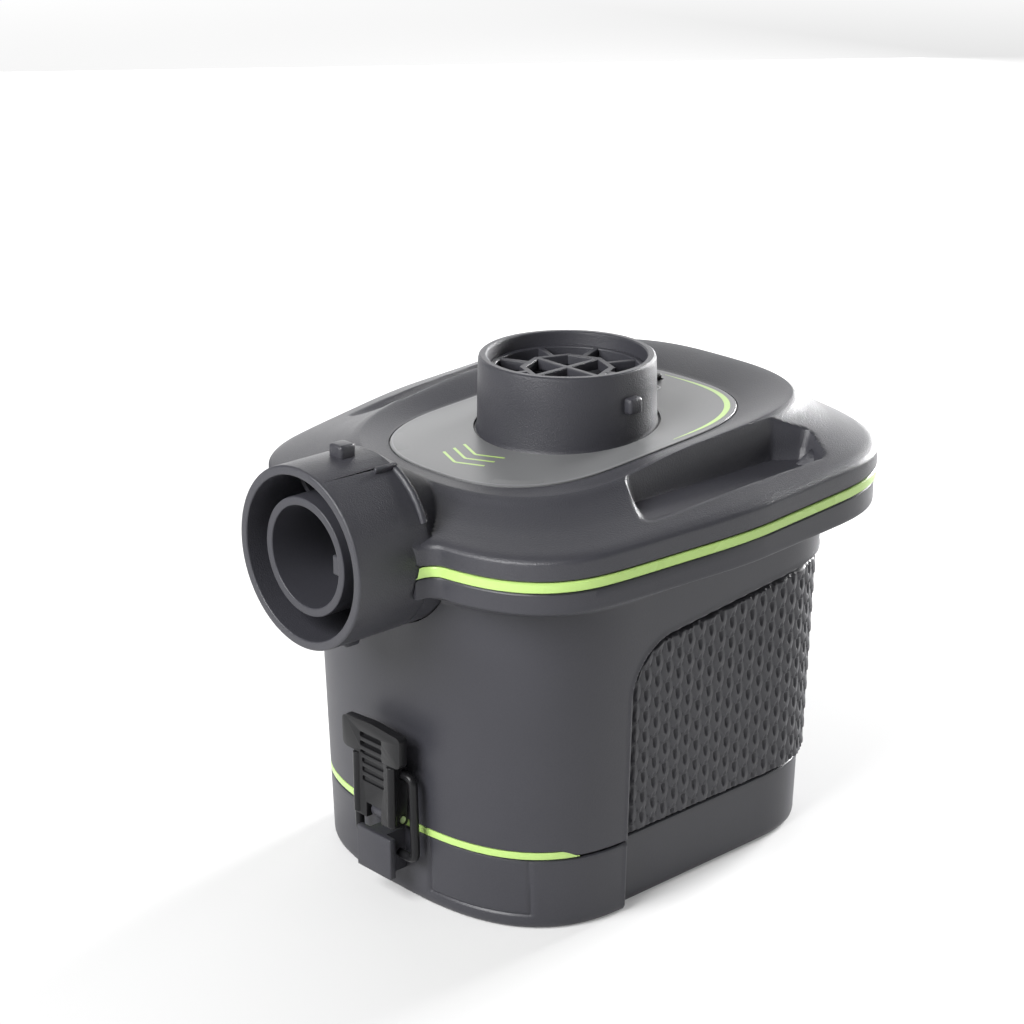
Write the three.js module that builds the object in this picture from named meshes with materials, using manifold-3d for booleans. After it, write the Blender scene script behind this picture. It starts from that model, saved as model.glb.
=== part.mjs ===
// Battery-powered air mattress pump: six C cells drive a small motor and a centrifugal impeller.
// Millimetres, +Z up. The outlet port faces -Y and the plane x = 0 is the plane of symmetry.
// The origin is on the standing face, straight below the impeller axis.
import * as THREE from 'three';
import { mergeVertices } from 'three/addons/utils/BufferGeometryUtils.js';
import Module from 'manifold-3d';

const wasm = await Module();
wasm.setup();

// ---------- driving dimensions ----------
const GAP = 0.3;                     // clearance between pieces that touch
const WALL = 2.2;                    // wall of the moulded shells

const COVER_TOP = 20.6;              // top edge of the battery cover
const HOUSING_BASE = COVER_TOP + GAP;
const WALL_TOP = 90;                 // where the body wall starts to flare
const TILT = 0.0625;                 // rise of the deck towards the back, mm per mm
const LIP_BASE = 100.4;              // lower edge of the housing's lip at y = 0
const STRIPE_LOW = 105.1;            // upper stripe, heights at y = 0
const STRIPE_HIGH = 107.8;
const EDGE_TOP = 112.6;              // where the deck's edge starts to roll over
const POCKET_FLOOR = 113.4;          // floor of the finger pockets in the wings
const FLOOR_Z = 119.7;               // label floor at y = 0

const PORT_R = 24;                   // outer radius of both hose ports
const PORT_WALL = 2.5;
const TOP_PORT_RIM = 139;
const GRILLE_LOW = 132.4;
const GRILLE_HIGH = 135.2;
const OUTLET_Z = 103.9;              // height of the outlet port's axis
const OUTLET_FRONT = -92.8;
const OUTLET_BACK = -62;
const BOSS_FRONT = -70;              // from here the port's outside narrows as a cone
const BOSS_TAPER = 0.66;             // loss of radius for each mm further back
const BORE_BACK = -71.5;             // floor of the ring-shaped bore
const CORNER_R = 5;                  // concave corners between the port and the deck's edge
const DUCT_R = 15.6;                 // inner tube of the outlet
const DUCT_WALL = 2.3;
const DUCT_BACK = -61.2;

const RECESS_X = 46.8;               // half width across the side recesses
const RECESS_Y = -25.5;              // front edge of a side recess
const RECESS_TOP = 78;               // recess height at y = 0
const RECESS_RISE = 0.1;
const RECESS_CORNER = 17;            // radius of the recess's upper front corner

const HINGE_Y = 66.2;                // axis of the battery cover's hinge
const HINGE_Z = 20.75;
const HINGE_R = 2.9;
const PIN_R = 1.05;                  // hinge pin and latch pin
const PIN_HOLE_R = PIN_R + GAP;

const LEVER_Y = -67;                 // pivot of the latch lever
const LEVER_Z = 25.5;
const LUG_R = 2.2;                   // lug on the housing that carries the lever
const LUG_X = 2.6;
const BAIL_Y = -66.4;                // pivot of the bail on the lever
const BAIL_Z = 38.5;
const FOOT_Y = -65.8;                // feet of the bail
const FOOT_Z = 14.5;
const ROD_R = 1.25;
const BAIL_X = 11.5;

const CELL_R = 13.1;                 // C cell
const CELL_LENGTH = 49.7;
const CELL_PITCH = 27.2;
const CELL_UP_BASE = 6.4;            // base of a cell that stands nub up
const CELL_DOWN_BASE = 3.4;          // nub of a cell that stands nub down
const TRAY_X = 43;                   // half width of the battery tray and its contact board
const TRAY_Y = 30.5;
const BOARD_Z = 57.6;                // underside of the contact board

const MOTOR_R = 13.8;
const MOTOR_TOP = 89.7;
const MOTOR_BASE = 62.5;
const VOLUTE_BASE = 90;
const VOLUTE_TOP = 107.5;
const IMPELLER_R = 27;
const BLADES = 8;
const SHAFT_R = 1.15;
const MOTOR_SCREW_X = 8;             // the motor's two screws, either side of the shaft

const SWITCH_X = -13.5;              // centre of the rocker switch
const SWITCH_Y = 34;
const ROCKER_LENGTH = 15;
const ROCKER_WIDTH = 9.6;

const SCREW_BOSS_R = 4.2;
const SCREW_SPOTS = [[41.5, -36], [-41.5, -36], [38.6, 46], [-38.6, 46]];

// plan outlines: half width, then centre, reach and roundness of the front and back ends
const BODY = { a: 49.6, front: [-22.5, 38.9, 2.7], back: [28, 33, 3] };
const DECK = { a: 70.6, front: [-20, 51, 3.4], back: [28, 41, 3], taper: 0.085 };
const CREST = { a: 44.5, front: [-14, 40, 2.6], back: [16, 45.5, 2.9] };
const LABEL = { a: 35.5, front: [-14, 35.5, 2.6], back: [10, 37.5, 2.8] };

// ---------- materials ----------
function plastic(colour, roughness) {
  return new THREE.MeshStandardMaterial({ color: colour, roughness, metalness: 0 });
}

function metal(colour, roughness) {
  return new THREE.MeshStandardMaterial({ color: colour, roughness, metalness: 1 });
}

const shellPlastic = plastic(0x4b4b4f, 0.55);
const gripRubber = plastic(0x404044, 0.7);
const blackPlastic = plastic(0x1b1b1d, 0.35);
const accentGreen = plastic(0xb4d66a, 0.4);
const labelGrey = plastic(0x69696e, 0.5);
const innerPlastic = plastic(0x2c2c2f, 0.6);
const impellerPlastic = plastic(0xd8d8d4, 0.5);
const steel = metal(0xb9bbbd, 0.3);
const nickel = metal(0xcfccc4, 0.25);
const copper = metal(0xb46a3c, 0.4);
const magnetGrey = plastic(0x3a3a3c, 0.8);
const cellJacket = plastic(0x5f6a70, 0.4);
const wireRed = plastic(0xa81f1c, 0.5);
const wireBlack = plastic(0x161616, 0.5);

// ---------- geometry helpers ----------
function toSolid(geometry) {
  const plain = geometry.index ? geometry.toNonIndexed() : geometry.clone();
  plain.deleteAttribute('normal');
  plain.deleteAttribute('uv');
  const merged = mergeVertices(plain, 1e-4);
  const triangles = [];
  const index = merged.index.array;
  for (let i = 0; i < index.length; i += 3) {
    const [a, b, c] = [index[i], index[i + 1], index[i + 2]];
    if (a !== b && b !== c && c !== a) {
      triangles.push(a, b, c);
    }
  }
  const data = {
    numProp: 3,
    vertProperties: new Float32Array(merged.attributes.position.array),
    triVerts: new Uint32Array(triangles),
  };
  return new wasm.Manifold(new wasm.Mesh(data));
}

function toGeometry(solid) {
  const data = solid.getMesh();
  const geometry = new THREE.BufferGeometry();
  const points = [];
  for (let i = 0; i < data.numVert; i += 1) {
    const start = i * data.numProp;
    points.push(...data.vertProperties.slice(start, start + 3));
  }
  geometry.setAttribute('position', new THREE.BufferAttribute(new Float32Array(points), 3));
  geometry.setIndex([...data.triVerts]);
  geometry.computeVertexNormals();
  return geometry;
}

function box(x0, x1, y0, y1, z0, z1) {
  const geometry = new THREE.BoxGeometry(x1 - x0, y1 - y0, z1 - z0);
  geometry.translate((x0 + x1) / 2, (y0 + y1) / 2, (z0 + z1) / 2);
  return toSolid(geometry);
}

// a turned solid about Z from [radius, height] points that run up the outside
function turned(profile, sides = 36) {
  const geometry = new THREE.LatheGeometry(profile.map(([r, z]) => new THREE.Vector2(r, z)), sides);
  geometry.rotateX(Math.PI / 2);
  return toSolid(geometry);
}

function rod(radius, z0, z1, sides = 36) {
  return turned([[0, z0], [radius, z0], [radius, z1], [0, z1]], sides);
}

function rodX(radius, x0, x1, y, z, sides = 16) {
  const geometry = new THREE.CylinderGeometry(radius, radius, x1 - x0, sides);
  geometry.rotateZ(Math.PI / 2);
  geometry.translate((x0 + x1) / 2, y, z);
  return toSolid(geometry);
}

function rodY(radius, y0, y1, z, sides = 36) {
  const geometry = new THREE.CylinderGeometry(radius, radius, y1 - y0, sides);
  geometry.translate(0, (y0 + y1) / 2, z);
  return toSolid(geometry);
}

function joined(solids) {
  return solids.reduce((sum, solid) => sum.add(solid));
}

function shifted(solid, x, y, z = 0) {
  return solid.translate([x, y, z]);
}

function mirroredX(solid) {
  return solid.mirror([1, 0, 0]);
}

// a closed tube along a smooth curve through the points
function wire(points, radius, sides, steps) {
  const curve = new THREE.CatmullRomCurve3(points.map((p) => new THREE.Vector3(...p)));
  const shape = new THREE.Shape();
  for (let i = 0; i < sides; i += 1) {
    const angle = (2 * Math.PI * i) / sides;
    const [x, y] = [radius * Math.cos(angle), radius * Math.sin(angle)];
    if (i === 0) {
      shape.moveTo(x, y);
    } else {
      shape.lineTo(x, y);
    }
  }
  return toSolid(new THREE.ExtrudeGeometry(shape, { steps, extrudePath: curve }));
}

// one point of a plan outline; t runs round it from +X towards +Y, grow moves it outwards
function outlinePoint(plan, t, grow = 0) {
  const [c, s] = [Math.cos(t), Math.sin(t)];
  const [centre, reach, round] = s < 0 ? plan.front : plan.back;
  const x = Math.sign(c) * (plan.a + grow) * Math.abs(c) ** (2 / round);
  const y = centre + Math.sign(s) * (reach + grow) * Math.abs(s) ** (2 / round);
  const narrow = plan.taper ? plan.taper * THREE.MathUtils.smoothstep(-y, -5, 45) : 0;
  return [x * (1 - narrow), y];
}

const RING = 40;

// a ring of 3-D points at height z; tilt is the share of the deck's slope that it takes
function ring(plan, z, grow = 0, tilt = 0, count = RING) {
  const points = [];
  for (let i = 0; i < count; i += 1) {
    const [x, y] = outlinePoint(plan, (2 * Math.PI * (i + 0.5)) / count, grow);
    points.push([x, y, z + TILT * tilt * y]);
  }
  return points;
}

function blendRings(ringA, ringB, share) {
  return ringA.map((p, i) => p.map((v, k) => v + (ringB[i][k] - v) * share));
}

// a closed solid through a stack of rings, lowest first
function loft(rings) {
  const count = rings[0].length;
  const points = rings.flat();
  const triangles = [];
  for (let k = 0; k + 1 < rings.length; k += 1) {
    for (let i = 0; i < count; i += 1) {
      const j = (i + 1) % count;
      const [a, b, c, d] = [k * count + i, k * count + j, (k + 1) * count + j, (k + 1) * count + i];
      triangles.push(a, b, c, a, c, d);
    }
  }
  for (const [k, flip] of [[0, true], [rings.length - 1, false]]) {
    const centre = [0, 1, 2].map((axis) => rings[k].reduce((sum, p) => sum + p[axis], 0) / count);
    points.push(centre);
    for (let i = 0; i < count; i += 1) {
      const [a, b] = [k * count + i, k * count + (i + 1) % count];
      triangles.push(...(flip ? [b, a, points.length - 1] : [a, b, points.length - 1]));
    }
  }
  const geometry = new THREE.BufferGeometry();
  geometry.setAttribute('position', new THREE.BufferAttribute(new Float32Array(points.flat()), 3));
  geometry.setIndex(triangles);
  return toSolid(geometry);
}

function prism(plan, z0, z1, grow = 0, count = RING) {
  return loft([ring(plan, z0, grow, 0, count), ring(plan, z1, grow, 0, count)]);
}

// ---------- side recess ----------
// the outline of a side recess seen from the side, as a flat shape in Y and Z
function recessShape(inset, low) {
  const front = RECESS_Y + inset;
  const top = (y) => RECESS_TOP - inset + RECESS_RISE * y;
  const shape = new THREE.Shape();
  shape.moveTo(front, low);
  shape.lineTo(front, top(front) - RECESS_CORNER);
  const corner = RECESS_CORNER;
  shape.quadraticCurveTo(front + 0.5, top(front) - 1, front + corner, top(front + corner));
  shape.lineTo(90, top(90));
  shape.lineTo(90, low);
  return shape;
}

function recessBlock(inset, low, x0, x1) {
  const geometry = new THREE.ExtrudeGeometry(recessShape(inset, low), {
    depth: x1 - x0,
    bevelEnabled: false,
    curveSegments: 8,
  });
  geometry.applyMatrix4(new THREE.Matrix4().set(0, 0, 1, x0, 1, 0, 0, 0, 0, 1, 0, 0, 0, 0, 0, 1));
  return toSolid(geometry);
}

const RECESS = { a: RECESS_X, front: [-22.5, 38, 2.7], back: [28, 33, 3] };

// what a recess takes away on the +X side: everything outside the narrower outline
function recessCut(low) {
  const block = recessBlock(0, low, 25, 60);
  return block.subtract(drafted(RECESS, low - 5, 100, 0));
}

// ---------- shells ----------
// the body widens upwards by this much: the draft of the moulding
function bodyGrow(z) {
  return 0.6 + 0.028 * z;
}

function drafted(plan, z0, z1, grow) {
  return loft([ring(plan, z0, bodyGrow(z0) + grow), ring(plan, z1, bodyGrow(z1) + grow)]);
}

// the space inside the body wall, which steps in behind each side recess
function bodyHollow(z0, z1) {
  const step = recessBlock(-WALL, z0 - 5, 25, 60).subtract(drafted(RECESS, z0 - 9, 110, -WALL));
  return drafted(BODY, z0, z1, -WALL).subtract(step).subtract(mirroredX(step));
}

function makeBatteryCover() {
  const outer = loft([
    ring(BODY, 0, -1.2),
    ring(BODY, 0.7, 0),
    ring(BODY, 2, bodyGrow(2)),
    ring(BODY, COVER_TOP, bodyGrow(COVER_TOP)),
  ]);
  const cut = recessCut(-5);
  const body = outer.subtract(cut).subtract(mirroredX(cut));
  const hollow = bodyHollow(WALL, COVER_TOP + 5);
  const plate = box(-6.9, 6.9, -70.8, -68.8, 8.3, 20.2);
  const core = box(-3.4, 3.4, -69.5, -60.5, 8.3, 20.2);
  const knuckle = rodX(HINGE_R, -9, 9, HINGE_Y, HINGE_Z)
    .add(box(-9, 9, 60, HINGE_Y, 15.5, HINGE_Z - 0.4))
    .subtract(rodX(1.6, -12, 12, HINGE_Y, HINGE_Z))
    .subtract(box(-12, 12, 55, 62.9, HINGE_Z - 0.2, 30));
  return joined([body.subtract(hollow), plate, core, knuckle]).subtract(hollow);
}

function housingOuter() {
  const wallTop = ring(BODY, WALL_TOP, bodyGrow(WALL_TOP));
  const lip = ring(DECK, LIP_BASE, -0.6, 1);
  const flare = [[0.06, 0.1], [0.28, 0.42], [0.6, 0.62], [0.9, 0.84]];
  const rings = [ring(BODY, HOUSING_BASE, bodyGrow(HOUSING_BASE)), wallTop];
  for (const [out, up] of flare) {
    const flat = blendRings(wallTop, lip, out);
    flat.forEach((p, i) => {
      p[2] = wallTop[i][2] + (lip[i][2] - wallTop[i][2]) * up;
    });
    rings.push(flat);
  }
  rings.push(lip, ring(DECK, STRIPE_LOW - GAP, -0.6, 1));
  return loft(rings);
}

function housingInner() {
  const rim = loft([
    ring(BODY, 89, bodyGrow(89) - WALL),
    ring(BODY, 92.5, bodyGrow(92) - WALL),
    ring(DECK, 103.2, -3.4, 1),
    ring(DECK, 112, -3.4, 1),
  ]);
  return bodyHollow(HOUSING_BASE - 5, 90).add(rim);
}

// room for the outlet port, whose lower half sits in the housing's rim
function outletRoom(radius) {
  return rodY(radius, -100, OUTLET_BACK + 2, OUTLET_Z)
    .add(box(-radius, radius, -100, OUTLET_BACK + 2, OUTLET_Z, 130));
}

// the latch lever turns on one lug, which stands out through the window in its lower end
function latchLug() {
  const lug = rodX(LUG_R, -LUG_X, LUG_X, LEVER_Y, LEVER_Z);
  return lug.add(box(-LUG_X, LUG_X, LEVER_Y, -61.6, LEVER_Z - LUG_R, LEVER_Z + LUG_R));
}

function makeLowerHousing() {
  const cut = recessCut(HOUSING_BASE - 5);
  let body = housingOuter().subtract(cut).subtract(mirroredX(cut));
  body = body.subtract(housingInner());
  for (const [x, y] of SCREW_SPOTS) {
    const boss = shifted(rod(SCREW_BOSS_R, 76, 97.5, 12), x, y);
    body = body.add(boss).subtract(shifted(rod(3.4, 60, 88, 12), x, y));
    body = body.subtract(shifted(rod(1.8, 80, 110, 8), x, y));
  }
  const side = rodX(HINGE_R, 9.4, 17, HINGE_Y, HINGE_Z)
    .add(box(9.4, 17, 60, HINGE_Y, HINGE_Z + 0.4, 26.5))
    .subtract(box(5, 20, 50, 62.9, 10, HINGE_Z + 0.15));
  const knuckles = side.add(mirroredX(side)).subtract(rodX(PIN_HOLE_R, -20, 20, HINGE_Y, HINGE_Z));
  const corners = portCorner(LIP_BASE + 0.2, STRIPE_LOW - GAP);
  body = joined([body, latchLug(), knuckles]).subtract(housingInner()).add(corners);
  body = body.subtract(rodX(PIN_HOLE_R, -9, 9, LEVER_Y, LEVER_Z));
  body = body.subtract(rodY(DUCT_R + GAP, -64, -56, OUTLET_Z, 40));
  return body.subtract(outletRoom(PORT_R + GAP)).subtract(lowerStripeRoom(GAP));
}

const STRIPE_GROW = bodyGrow(22) + 0.05;

// the lower stripe lies in a rebate of the housing's bottom edge and runs out to a point
function lowerStripeRoom(clear) {
  const depth = 1.1 + clear;
  const band = prism(BODY, 15, 23 + clear, 5).subtract(prism(BODY, 10, 30, STRIPE_GROW - depth));
  return band.intersect(box(-60, 60, -80, -41 + clear, 15, 30));
}

function makeLowerStripe() {
  const outer = prism(BODY, HOUSING_BASE + 0.2, 23, STRIPE_GROW);
  const inner = prism(BODY, 10, 30, STRIPE_GROW - 1.1);
  return outer.subtract(inner).intersect(box(-60, 60, -80, -41, 15, 30));
}

// a concave corner in plan where the deck's edge turns forward along the outlet port, both sides
function portCorner(low, high) {
  const front = -70.6;
  const shape = new THREE.Shape();
  shape.moveTo(PORT_R - 2, front + 1.5);
  shape.lineTo(PORT_R + CORNER_R, front + 1.5);
  shape.lineTo(PORT_R + CORNER_R, front);
  shape.absarc(PORT_R + CORNER_R, front - CORNER_R, CORNER_R, Math.PI / 2, Math.PI, false);
  shape.lineTo(PORT_R - 2, front - CORNER_R);
  const drop = TILT * (front - CORNER_R / 2);
  const geometry = new THREE.ExtrudeGeometry(shape, {
    depth: high - low,
    bevelEnabled: false,
    curveSegments: 6,
  });
  geometry.translate(0, 0, low + drop);
  const corner = toSolid(geometry);
  return corner.add(mirroredX(corner));
}

function makeUpperStripe() {
  const outer = loft([ring(DECK, STRIPE_LOW, -0.1, 1), ring(DECK, STRIPE_HIGH, -0.1, 1)]);
  const inner = loft([ring(DECK, STRIPE_LOW - 9, -2.2, 1), ring(DECK, STRIPE_HIGH + 9, -2.2, 1)]);
  const band = outer.subtract(inner).subtract(box(-26, 26, -80, -40, 90, 120));
  return band.add(portCorner(STRIPE_LOW, STRIPE_HIGH)).subtract(outletRoom(PORT_R + GAP));
}

// ---------- top cover ----------
const DECK_PROFILE = [
  [0.03, EDGE_TOP + 1.1],
  [0.12, EDGE_TOP + 2.4],
  [0.55, EDGE_TOP + 5.2],
];

function crestHeight(y) {
  const sides = THREE.MathUtils.smoothstep(y, -50, 5);
  return FLOOR_Z + 0.7 + 2.9 * sides - 0.9 * THREE.MathUtils.smoothstep(y, 30, 60);
}

function crestRing(grow = 0) {
  return ring(CREST, 0, grow).map(([x, y]) => [x, y, crestHeight(y) + TILT * y]);
}

function deckOuter() {
  const edge = ring(DECK, EDGE_TOP, 0, 1);
  const crest = crestRing();
  const rings = [ring(DECK, STRIPE_HIGH + GAP, 0, 1), edge];
  for (const [inward, height] of DECK_PROFILE) {
    const level = blendRings(edge, crest, inward);
    level.forEach((p, i) => {
      const share = (height - EDGE_TOP) / (FLOOR_Z + 2.6 - EDGE_TOP);
      p[2] = edge[i][2] + (crest[i][2] - edge[i][2]) * share;
    });
    rings.push(level);
  }
  rings.push(crest, blendRings(crest, ring(LABEL, FLOOR_Z + 0.3, 0, 1), 0.5), ring(LABEL, FLOOR_Z, 0, 1));
  return loft(rings);
}

function deckInner() {
  return loft([
    ring(DECK, 95, -2.6, 1),
    ring(DECK, 110.6, -2.6, 1),
    ring(CREST, FLOOR_Z - WALL, 0, 1),
  ]);
}

// finger pocket in the +X wing with a level floor; wall grows it into its own lining
function fingerPocket(wall = 0) {
  const shape = new THREE.Shape();
  shape.moveTo(44 - wall, -22 - wall);
  shape.lineTo(58.5 + wall, -30 - wall);
  shape.lineTo(62 + wall, 35 + wall);
  shape.quadraticCurveTo(47 - wall, 43 + wall, 45.5 - wall, 30);
  const geometry = new THREE.ExtrudeGeometry(shape, { depth: 30, bevelEnabled: false, curveSegments: 4 });
  geometry.translate(0, 0, POCKET_FLOOR - wall);
  return toSolid(geometry);
}

function topPort() {
  const outside = turned([[0, 112], [PORT_R + 0.6, 112], [PORT_R, TOP_PORT_RIM], [0, TOP_PORT_RIM]]);
  const lug = box(PORT_R - 1, PORT_R + 2.6, -2.3, 2.3, 127.7, 132.2);
  return joined([outside, lug, mirroredX(lug)]);
}

// a cone about the outlet's axis, from radius r0 at y0 to r1 at y1
function coneY(r0, r1, y0, y1, sides) {
  const geometry = new THREE.CylinderGeometry(r1, r0, y1 - y0, sides);
  geometry.translate(0, (y0 + y1) / 2, OUTLET_Z);
  return toSolid(geometry);
}

// the tube runs back to the deck's front edge, then narrows into the deck as a cone
function outletPort() {
  const tube = rodY(PORT_R, OUTLET_FRONT, BOSS_FRONT, OUTLET_Z);
  const coneBack = -46;
  const cone = coneY(PORT_R, PORT_R - BOSS_TAPER * (coneBack - BOSS_FRONT), BOSS_FRONT - 0.01, coneBack, 36);
  const upper = cone.intersect(box(-30, 30, BOSS_FRONT - 1, coneBack + 1, 106, 130));
  const lower = rodY(PORT_R, BOSS_FRONT - 0.5, OUTLET_BACK, OUTLET_Z)
    .intersect(box(-30, 30, -80, -50, 70, 106.5));
  const core = cone.intersect(box(-30, 30, BOSS_FRONT - 1, OUTLET_BACK, 70, 130));
  const boss = joined([upper, lower, core]);
  const lugTop = box(-2.6, 2.6, -80.5, -75.5, OUTLET_Z + PORT_R - 1, OUTLET_Z + PORT_R + 3.2);
  const lugLow = box(-2.6, 2.6, -80.5, -75.5, OUTLET_Z - PORT_R - 3.2, OUTLET_Z - PORT_R + 1);
  const stopRib = box(-0.6, 0.6, -76.6, BOSS_FRONT + 0.5, PORT_R - 0.5, PORT_R + 1.4).rotate([0, 26, 0]);
  return joined([tube, boss, lugTop, lugLow, shifted(stopRib, 0, 0, OUTLET_Z)]);
}

function outletBore() {
  const annulus = rodY(PORT_R - PORT_WALL, OUTLET_FRONT - 5, BORE_BACK, OUTLET_Z);
  const hole = rodY(DUCT_R + GAP, OUTLET_FRONT, DUCT_BACK + GAP, OUTLET_Z);
  const neckRoom = box(-13.8, 13.8, -62.3, -40, 80, VOLUTE_TOP + 4.3);
  return joined([annulus, hole, neckRoom]);
}

function outletRibs() {
  const ribs = [];
  for (let i = 0; i < 4; i += 1) {
    const rib = box(DUCT_R + GAP + 0.2, PORT_R - 1, -80, BORE_BACK + 0.5, -0.7, 0.7);
    ribs.push(rib.rotate([0, 45 + 90 * i, 0]).translate([0, 0, OUTLET_Z]));
  }
  return joined(ribs);
}

function makeTopCover() {
  const pocket = fingerPocket();
  const lining = fingerPocket(WALL).intersect(deckOuter());
  let body = deckOuter().subtract(deckInner()).add(lining).add(mirroredX(lining));
  body = body.subtract(pocket).subtract(mirroredX(pocket));
  body = body.subtract(outletRoom(PORT_R - 1));
  body = joined([body, topPort(), outletPort(), portCorner(STRIPE_HIGH + GAP, EDGE_TOP + 0.6)]);
  body = body.subtract(outletBore()).add(outletRibs());
  body = body.subtract(rod(PORT_R - PORT_WALL, 90, 150));
  const outer = deckOuter();
  for (const [x, y] of SCREW_SPOTS) {
    const boss = shifted(rod(SCREW_BOSS_R, 98, 121 + TILT * y, 12), x, y).intersect(outer);
    body = body.add(boss).subtract(shifted(rod(1.25, 90, 110, 8), x, y));
  }
  const [half, wide] = [ROCKER_LENGTH / 2 + 1, ROCKER_WIDTH / 2 + 1];
  const hole = shifted(box(-half, half, -wide, wide, 100, 135), SWITCH_X, SWITCH_Y);
  const seat = loft([ring(LABEL, FLOOR_Z - 0.5, -0.7, 1), ring(LABEL, FLOOR_Z + 8, -0.7, 1)])
    .subtract(rod(PORT_R + 1, 80, 150));
  return body.subtract(hole).subtract(seat.subtract(box(-40, 40, -60, -44, 90, 150)));
}

function makeTopLabel() {
  const plate = loft([ring(LABEL, FLOOR_Z - 0.2, -1.1, 1), ring(LABEL, FLOOR_Z + 0.25, -1.1, 1)]);
  const [half, wide] = [ROCKER_LENGTH / 2 + 2.6, ROCKER_WIDTH / 2 + 2.6];
  return plate
    .subtract(rod(PORT_R + 1.4, 80, 150))
    .subtract(shifted(box(-half, half, -wide, wide, 100, 135), SWITCH_X, SWITCH_Y))
    .subtract(box(-40, 40, -60, -43.7, 90, 150));
}

function makeGrille() {
  const [low, high] = [GRILLE_LOW, GRILLE_HIGH];
  const outer = PORT_R - PORT_WALL - GAP;
  const rim = rod(outer, low - 2, high).subtract(rod(outer - 1.6, low - 5, high + 5));
  const octagon = turned([[10.9, low], [12.7, low], [12.7, high], [10.9, high], [10.9, low]], 8);
  const parts = [rim, octagon.rotate([0, 0, 22.5])];
  for (let i = 0; i < 8; i += 1) {
    parts.push(box(11.2, outer - 0.8, -0.8, 0.8, low, high).rotate([0, 0, 45 * i]));
  }
  for (let i = 0; i < 4; i += 1) {
    parts.push(box(-0.4, 11.5, -0.8, 0.8, low, high).rotate([0, 0, 90 * i]));
  }
  return joined(parts);
}

// ---------- side grips ----------
// a pad of fish-scale rubber in the side recess, wrapped round the back corner
function makeSideGrip() {
  const skin = drafted(RECESS, 10, 100, 1.4).subtract(drafted(RECESS, 5, 110, GAP));
  const block = recessBlock(1.4, HOUSING_BASE + 0.6, 25, 60).intersect(box(30, 60, -40, 60.5, 0, 86));
  return skin.intersect(block);
}

// ---------- fan and motor ----------
// spiral wall of the fan chamber, widest where the air leaves towards the outlet
function scroll(grow, z0, z1) {
  const shape = new THREE.Shape();
  const count = 36;
  for (let i = 0; i < count; i += 1) {
    const turn = i / count;
    const radius = 31 + 11 * turn + grow;
    const angle = -Math.PI / 2 + 2 * Math.PI * turn;
    const [x, y] = [radius * Math.cos(angle), radius * Math.sin(angle)];
    if (i === 0) {
      shape.moveTo(x, y);
    } else {
      shape.lineTo(x, y);
    }
  }
  const geometry = new THREE.ExtrudeGeometry(shape, { depth: z1 - z0, bevelEnabled: false });
  geometry.translate(0, 0, z0);
  return toSolid(geometry);
}

function motorScrewHoles(radius) {
  const hole = shifted(rod(radius, 80, 100, 8), MOTOR_SCREW_X, 0);
  return hole.add(mirroredX(hole));
}

function makeVoluteCasing() {
  const wall = 1.8;
  const shell = scroll(wall, VOLUTE_BASE, VOLUTE_TOP);
  const neck = box(-13.5, 13.5, -61.9, -25, VOLUTE_BASE, VOLUTE_TOP + 4);
  const tube = rodY(DUCT_R, OUTLET_FRONT + 1.9, DUCT_BACK, OUTLET_Z, 36);
  const hollow = joined([
    scroll(0, VOLUTE_BASE + wall, VOLUTE_TOP + 10),
    box(-11.7, 11.7, -64, -20, VOLUTE_BASE + wall, VOLUTE_TOP + 2.2),
    rodY(DUCT_R - DUCT_WALL, OUTLET_FRONT, -60, OUTLET_Z, 36),
  ]);
  const tab = box(8.8, 14, -89, -86.5, OUTLET_Z - 2.6, OUTLET_Z + 2.6);
  const open = scroll(0.3, VOLUTE_TOP, VOLUTE_TOP + 10);
  const screws = motorScrewHoles(1.7);
  return joined([shell, neck, tube]).subtract(hollow).subtract(open).add(tab)
    .subtract(rod(4.2, 80, 100, 24)).subtract(screws);
}

function makeVoluteLid() {
  const low = VOLUTE_TOP + GAP;
  const plate = scroll(1.8, low, low + 1.6).subtract(box(-14, 14, -70, -28.8, 80, 130));
  const inlet = rod(17, 80, 130, 32);
  const collar = rod(19.6, low, 117, 32);
  return plate.add(collar).subtract(inlet);
}

function makeImpeller() {
  const [low, high] = [95.2, 105.3];
  const blades = [];
  for (let i = 0; i < BLADES; i += 1) {
    const blade = box(9, IMPELLER_R, -0.6, 0.6, low, high).rotate([0, 0, -32]).translate([4, 5, 0]);
    blades.push(blade.rotate([0, 0, (360 * i) / BLADES]));
  }
  const round = rod(IMPELLER_R, 80, 120, 32);
  const back = rod(IMPELLER_R, low - 1.6, low + 0.2, 32);
  const hub = rod(5, low - 1.6, 104.6, 16);
  const shroud = turned([[15.5, high + 0.8], [IMPELLER_R, high - 1.4], [IMPELLER_R, high - 0.2],
    [15.5, high + 2], [15.5, high + 0.8]], 32);
  return joined([back, hub, shroud, ...blades.map((blade) => blade.intersect(round))])
    .subtract(rod(SHAFT_R + GAP, 80, 103.4, 12));
}

function makeMotorCan() {
  const can = turned([[0, MOTOR_BASE], [MOTOR_R, MOTOR_BASE], [MOTOR_R, MOTOR_TOP - 1],
    [MOTOR_R - 1, MOTOR_TOP], [0, MOTOR_TOP]], 28);
  const screws = motorScrewHoles(1.5);
  return can.subtract(rod(MOTOR_R - 1, 50, MOTOR_TOP - 1.4, 28))
    .subtract(rod(2.2, 80, 100, 14)).subtract(screws);
}

function makeMotorEndCap() {
  const disc = rod(MOTOR_R, MOTOR_BASE - 2.2, MOTOR_BASE - GAP, 28);
  const spigot = rod(MOTOR_R - 1.5, MOTOR_BASE - 1, MOTOR_BASE + 2, 28)
    .subtract(rod(10.5, MOTOR_BASE - GAP, 80, 28));
  return disc.add(spigot).subtract(rod(2, 50, 80, 14));
}

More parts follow.
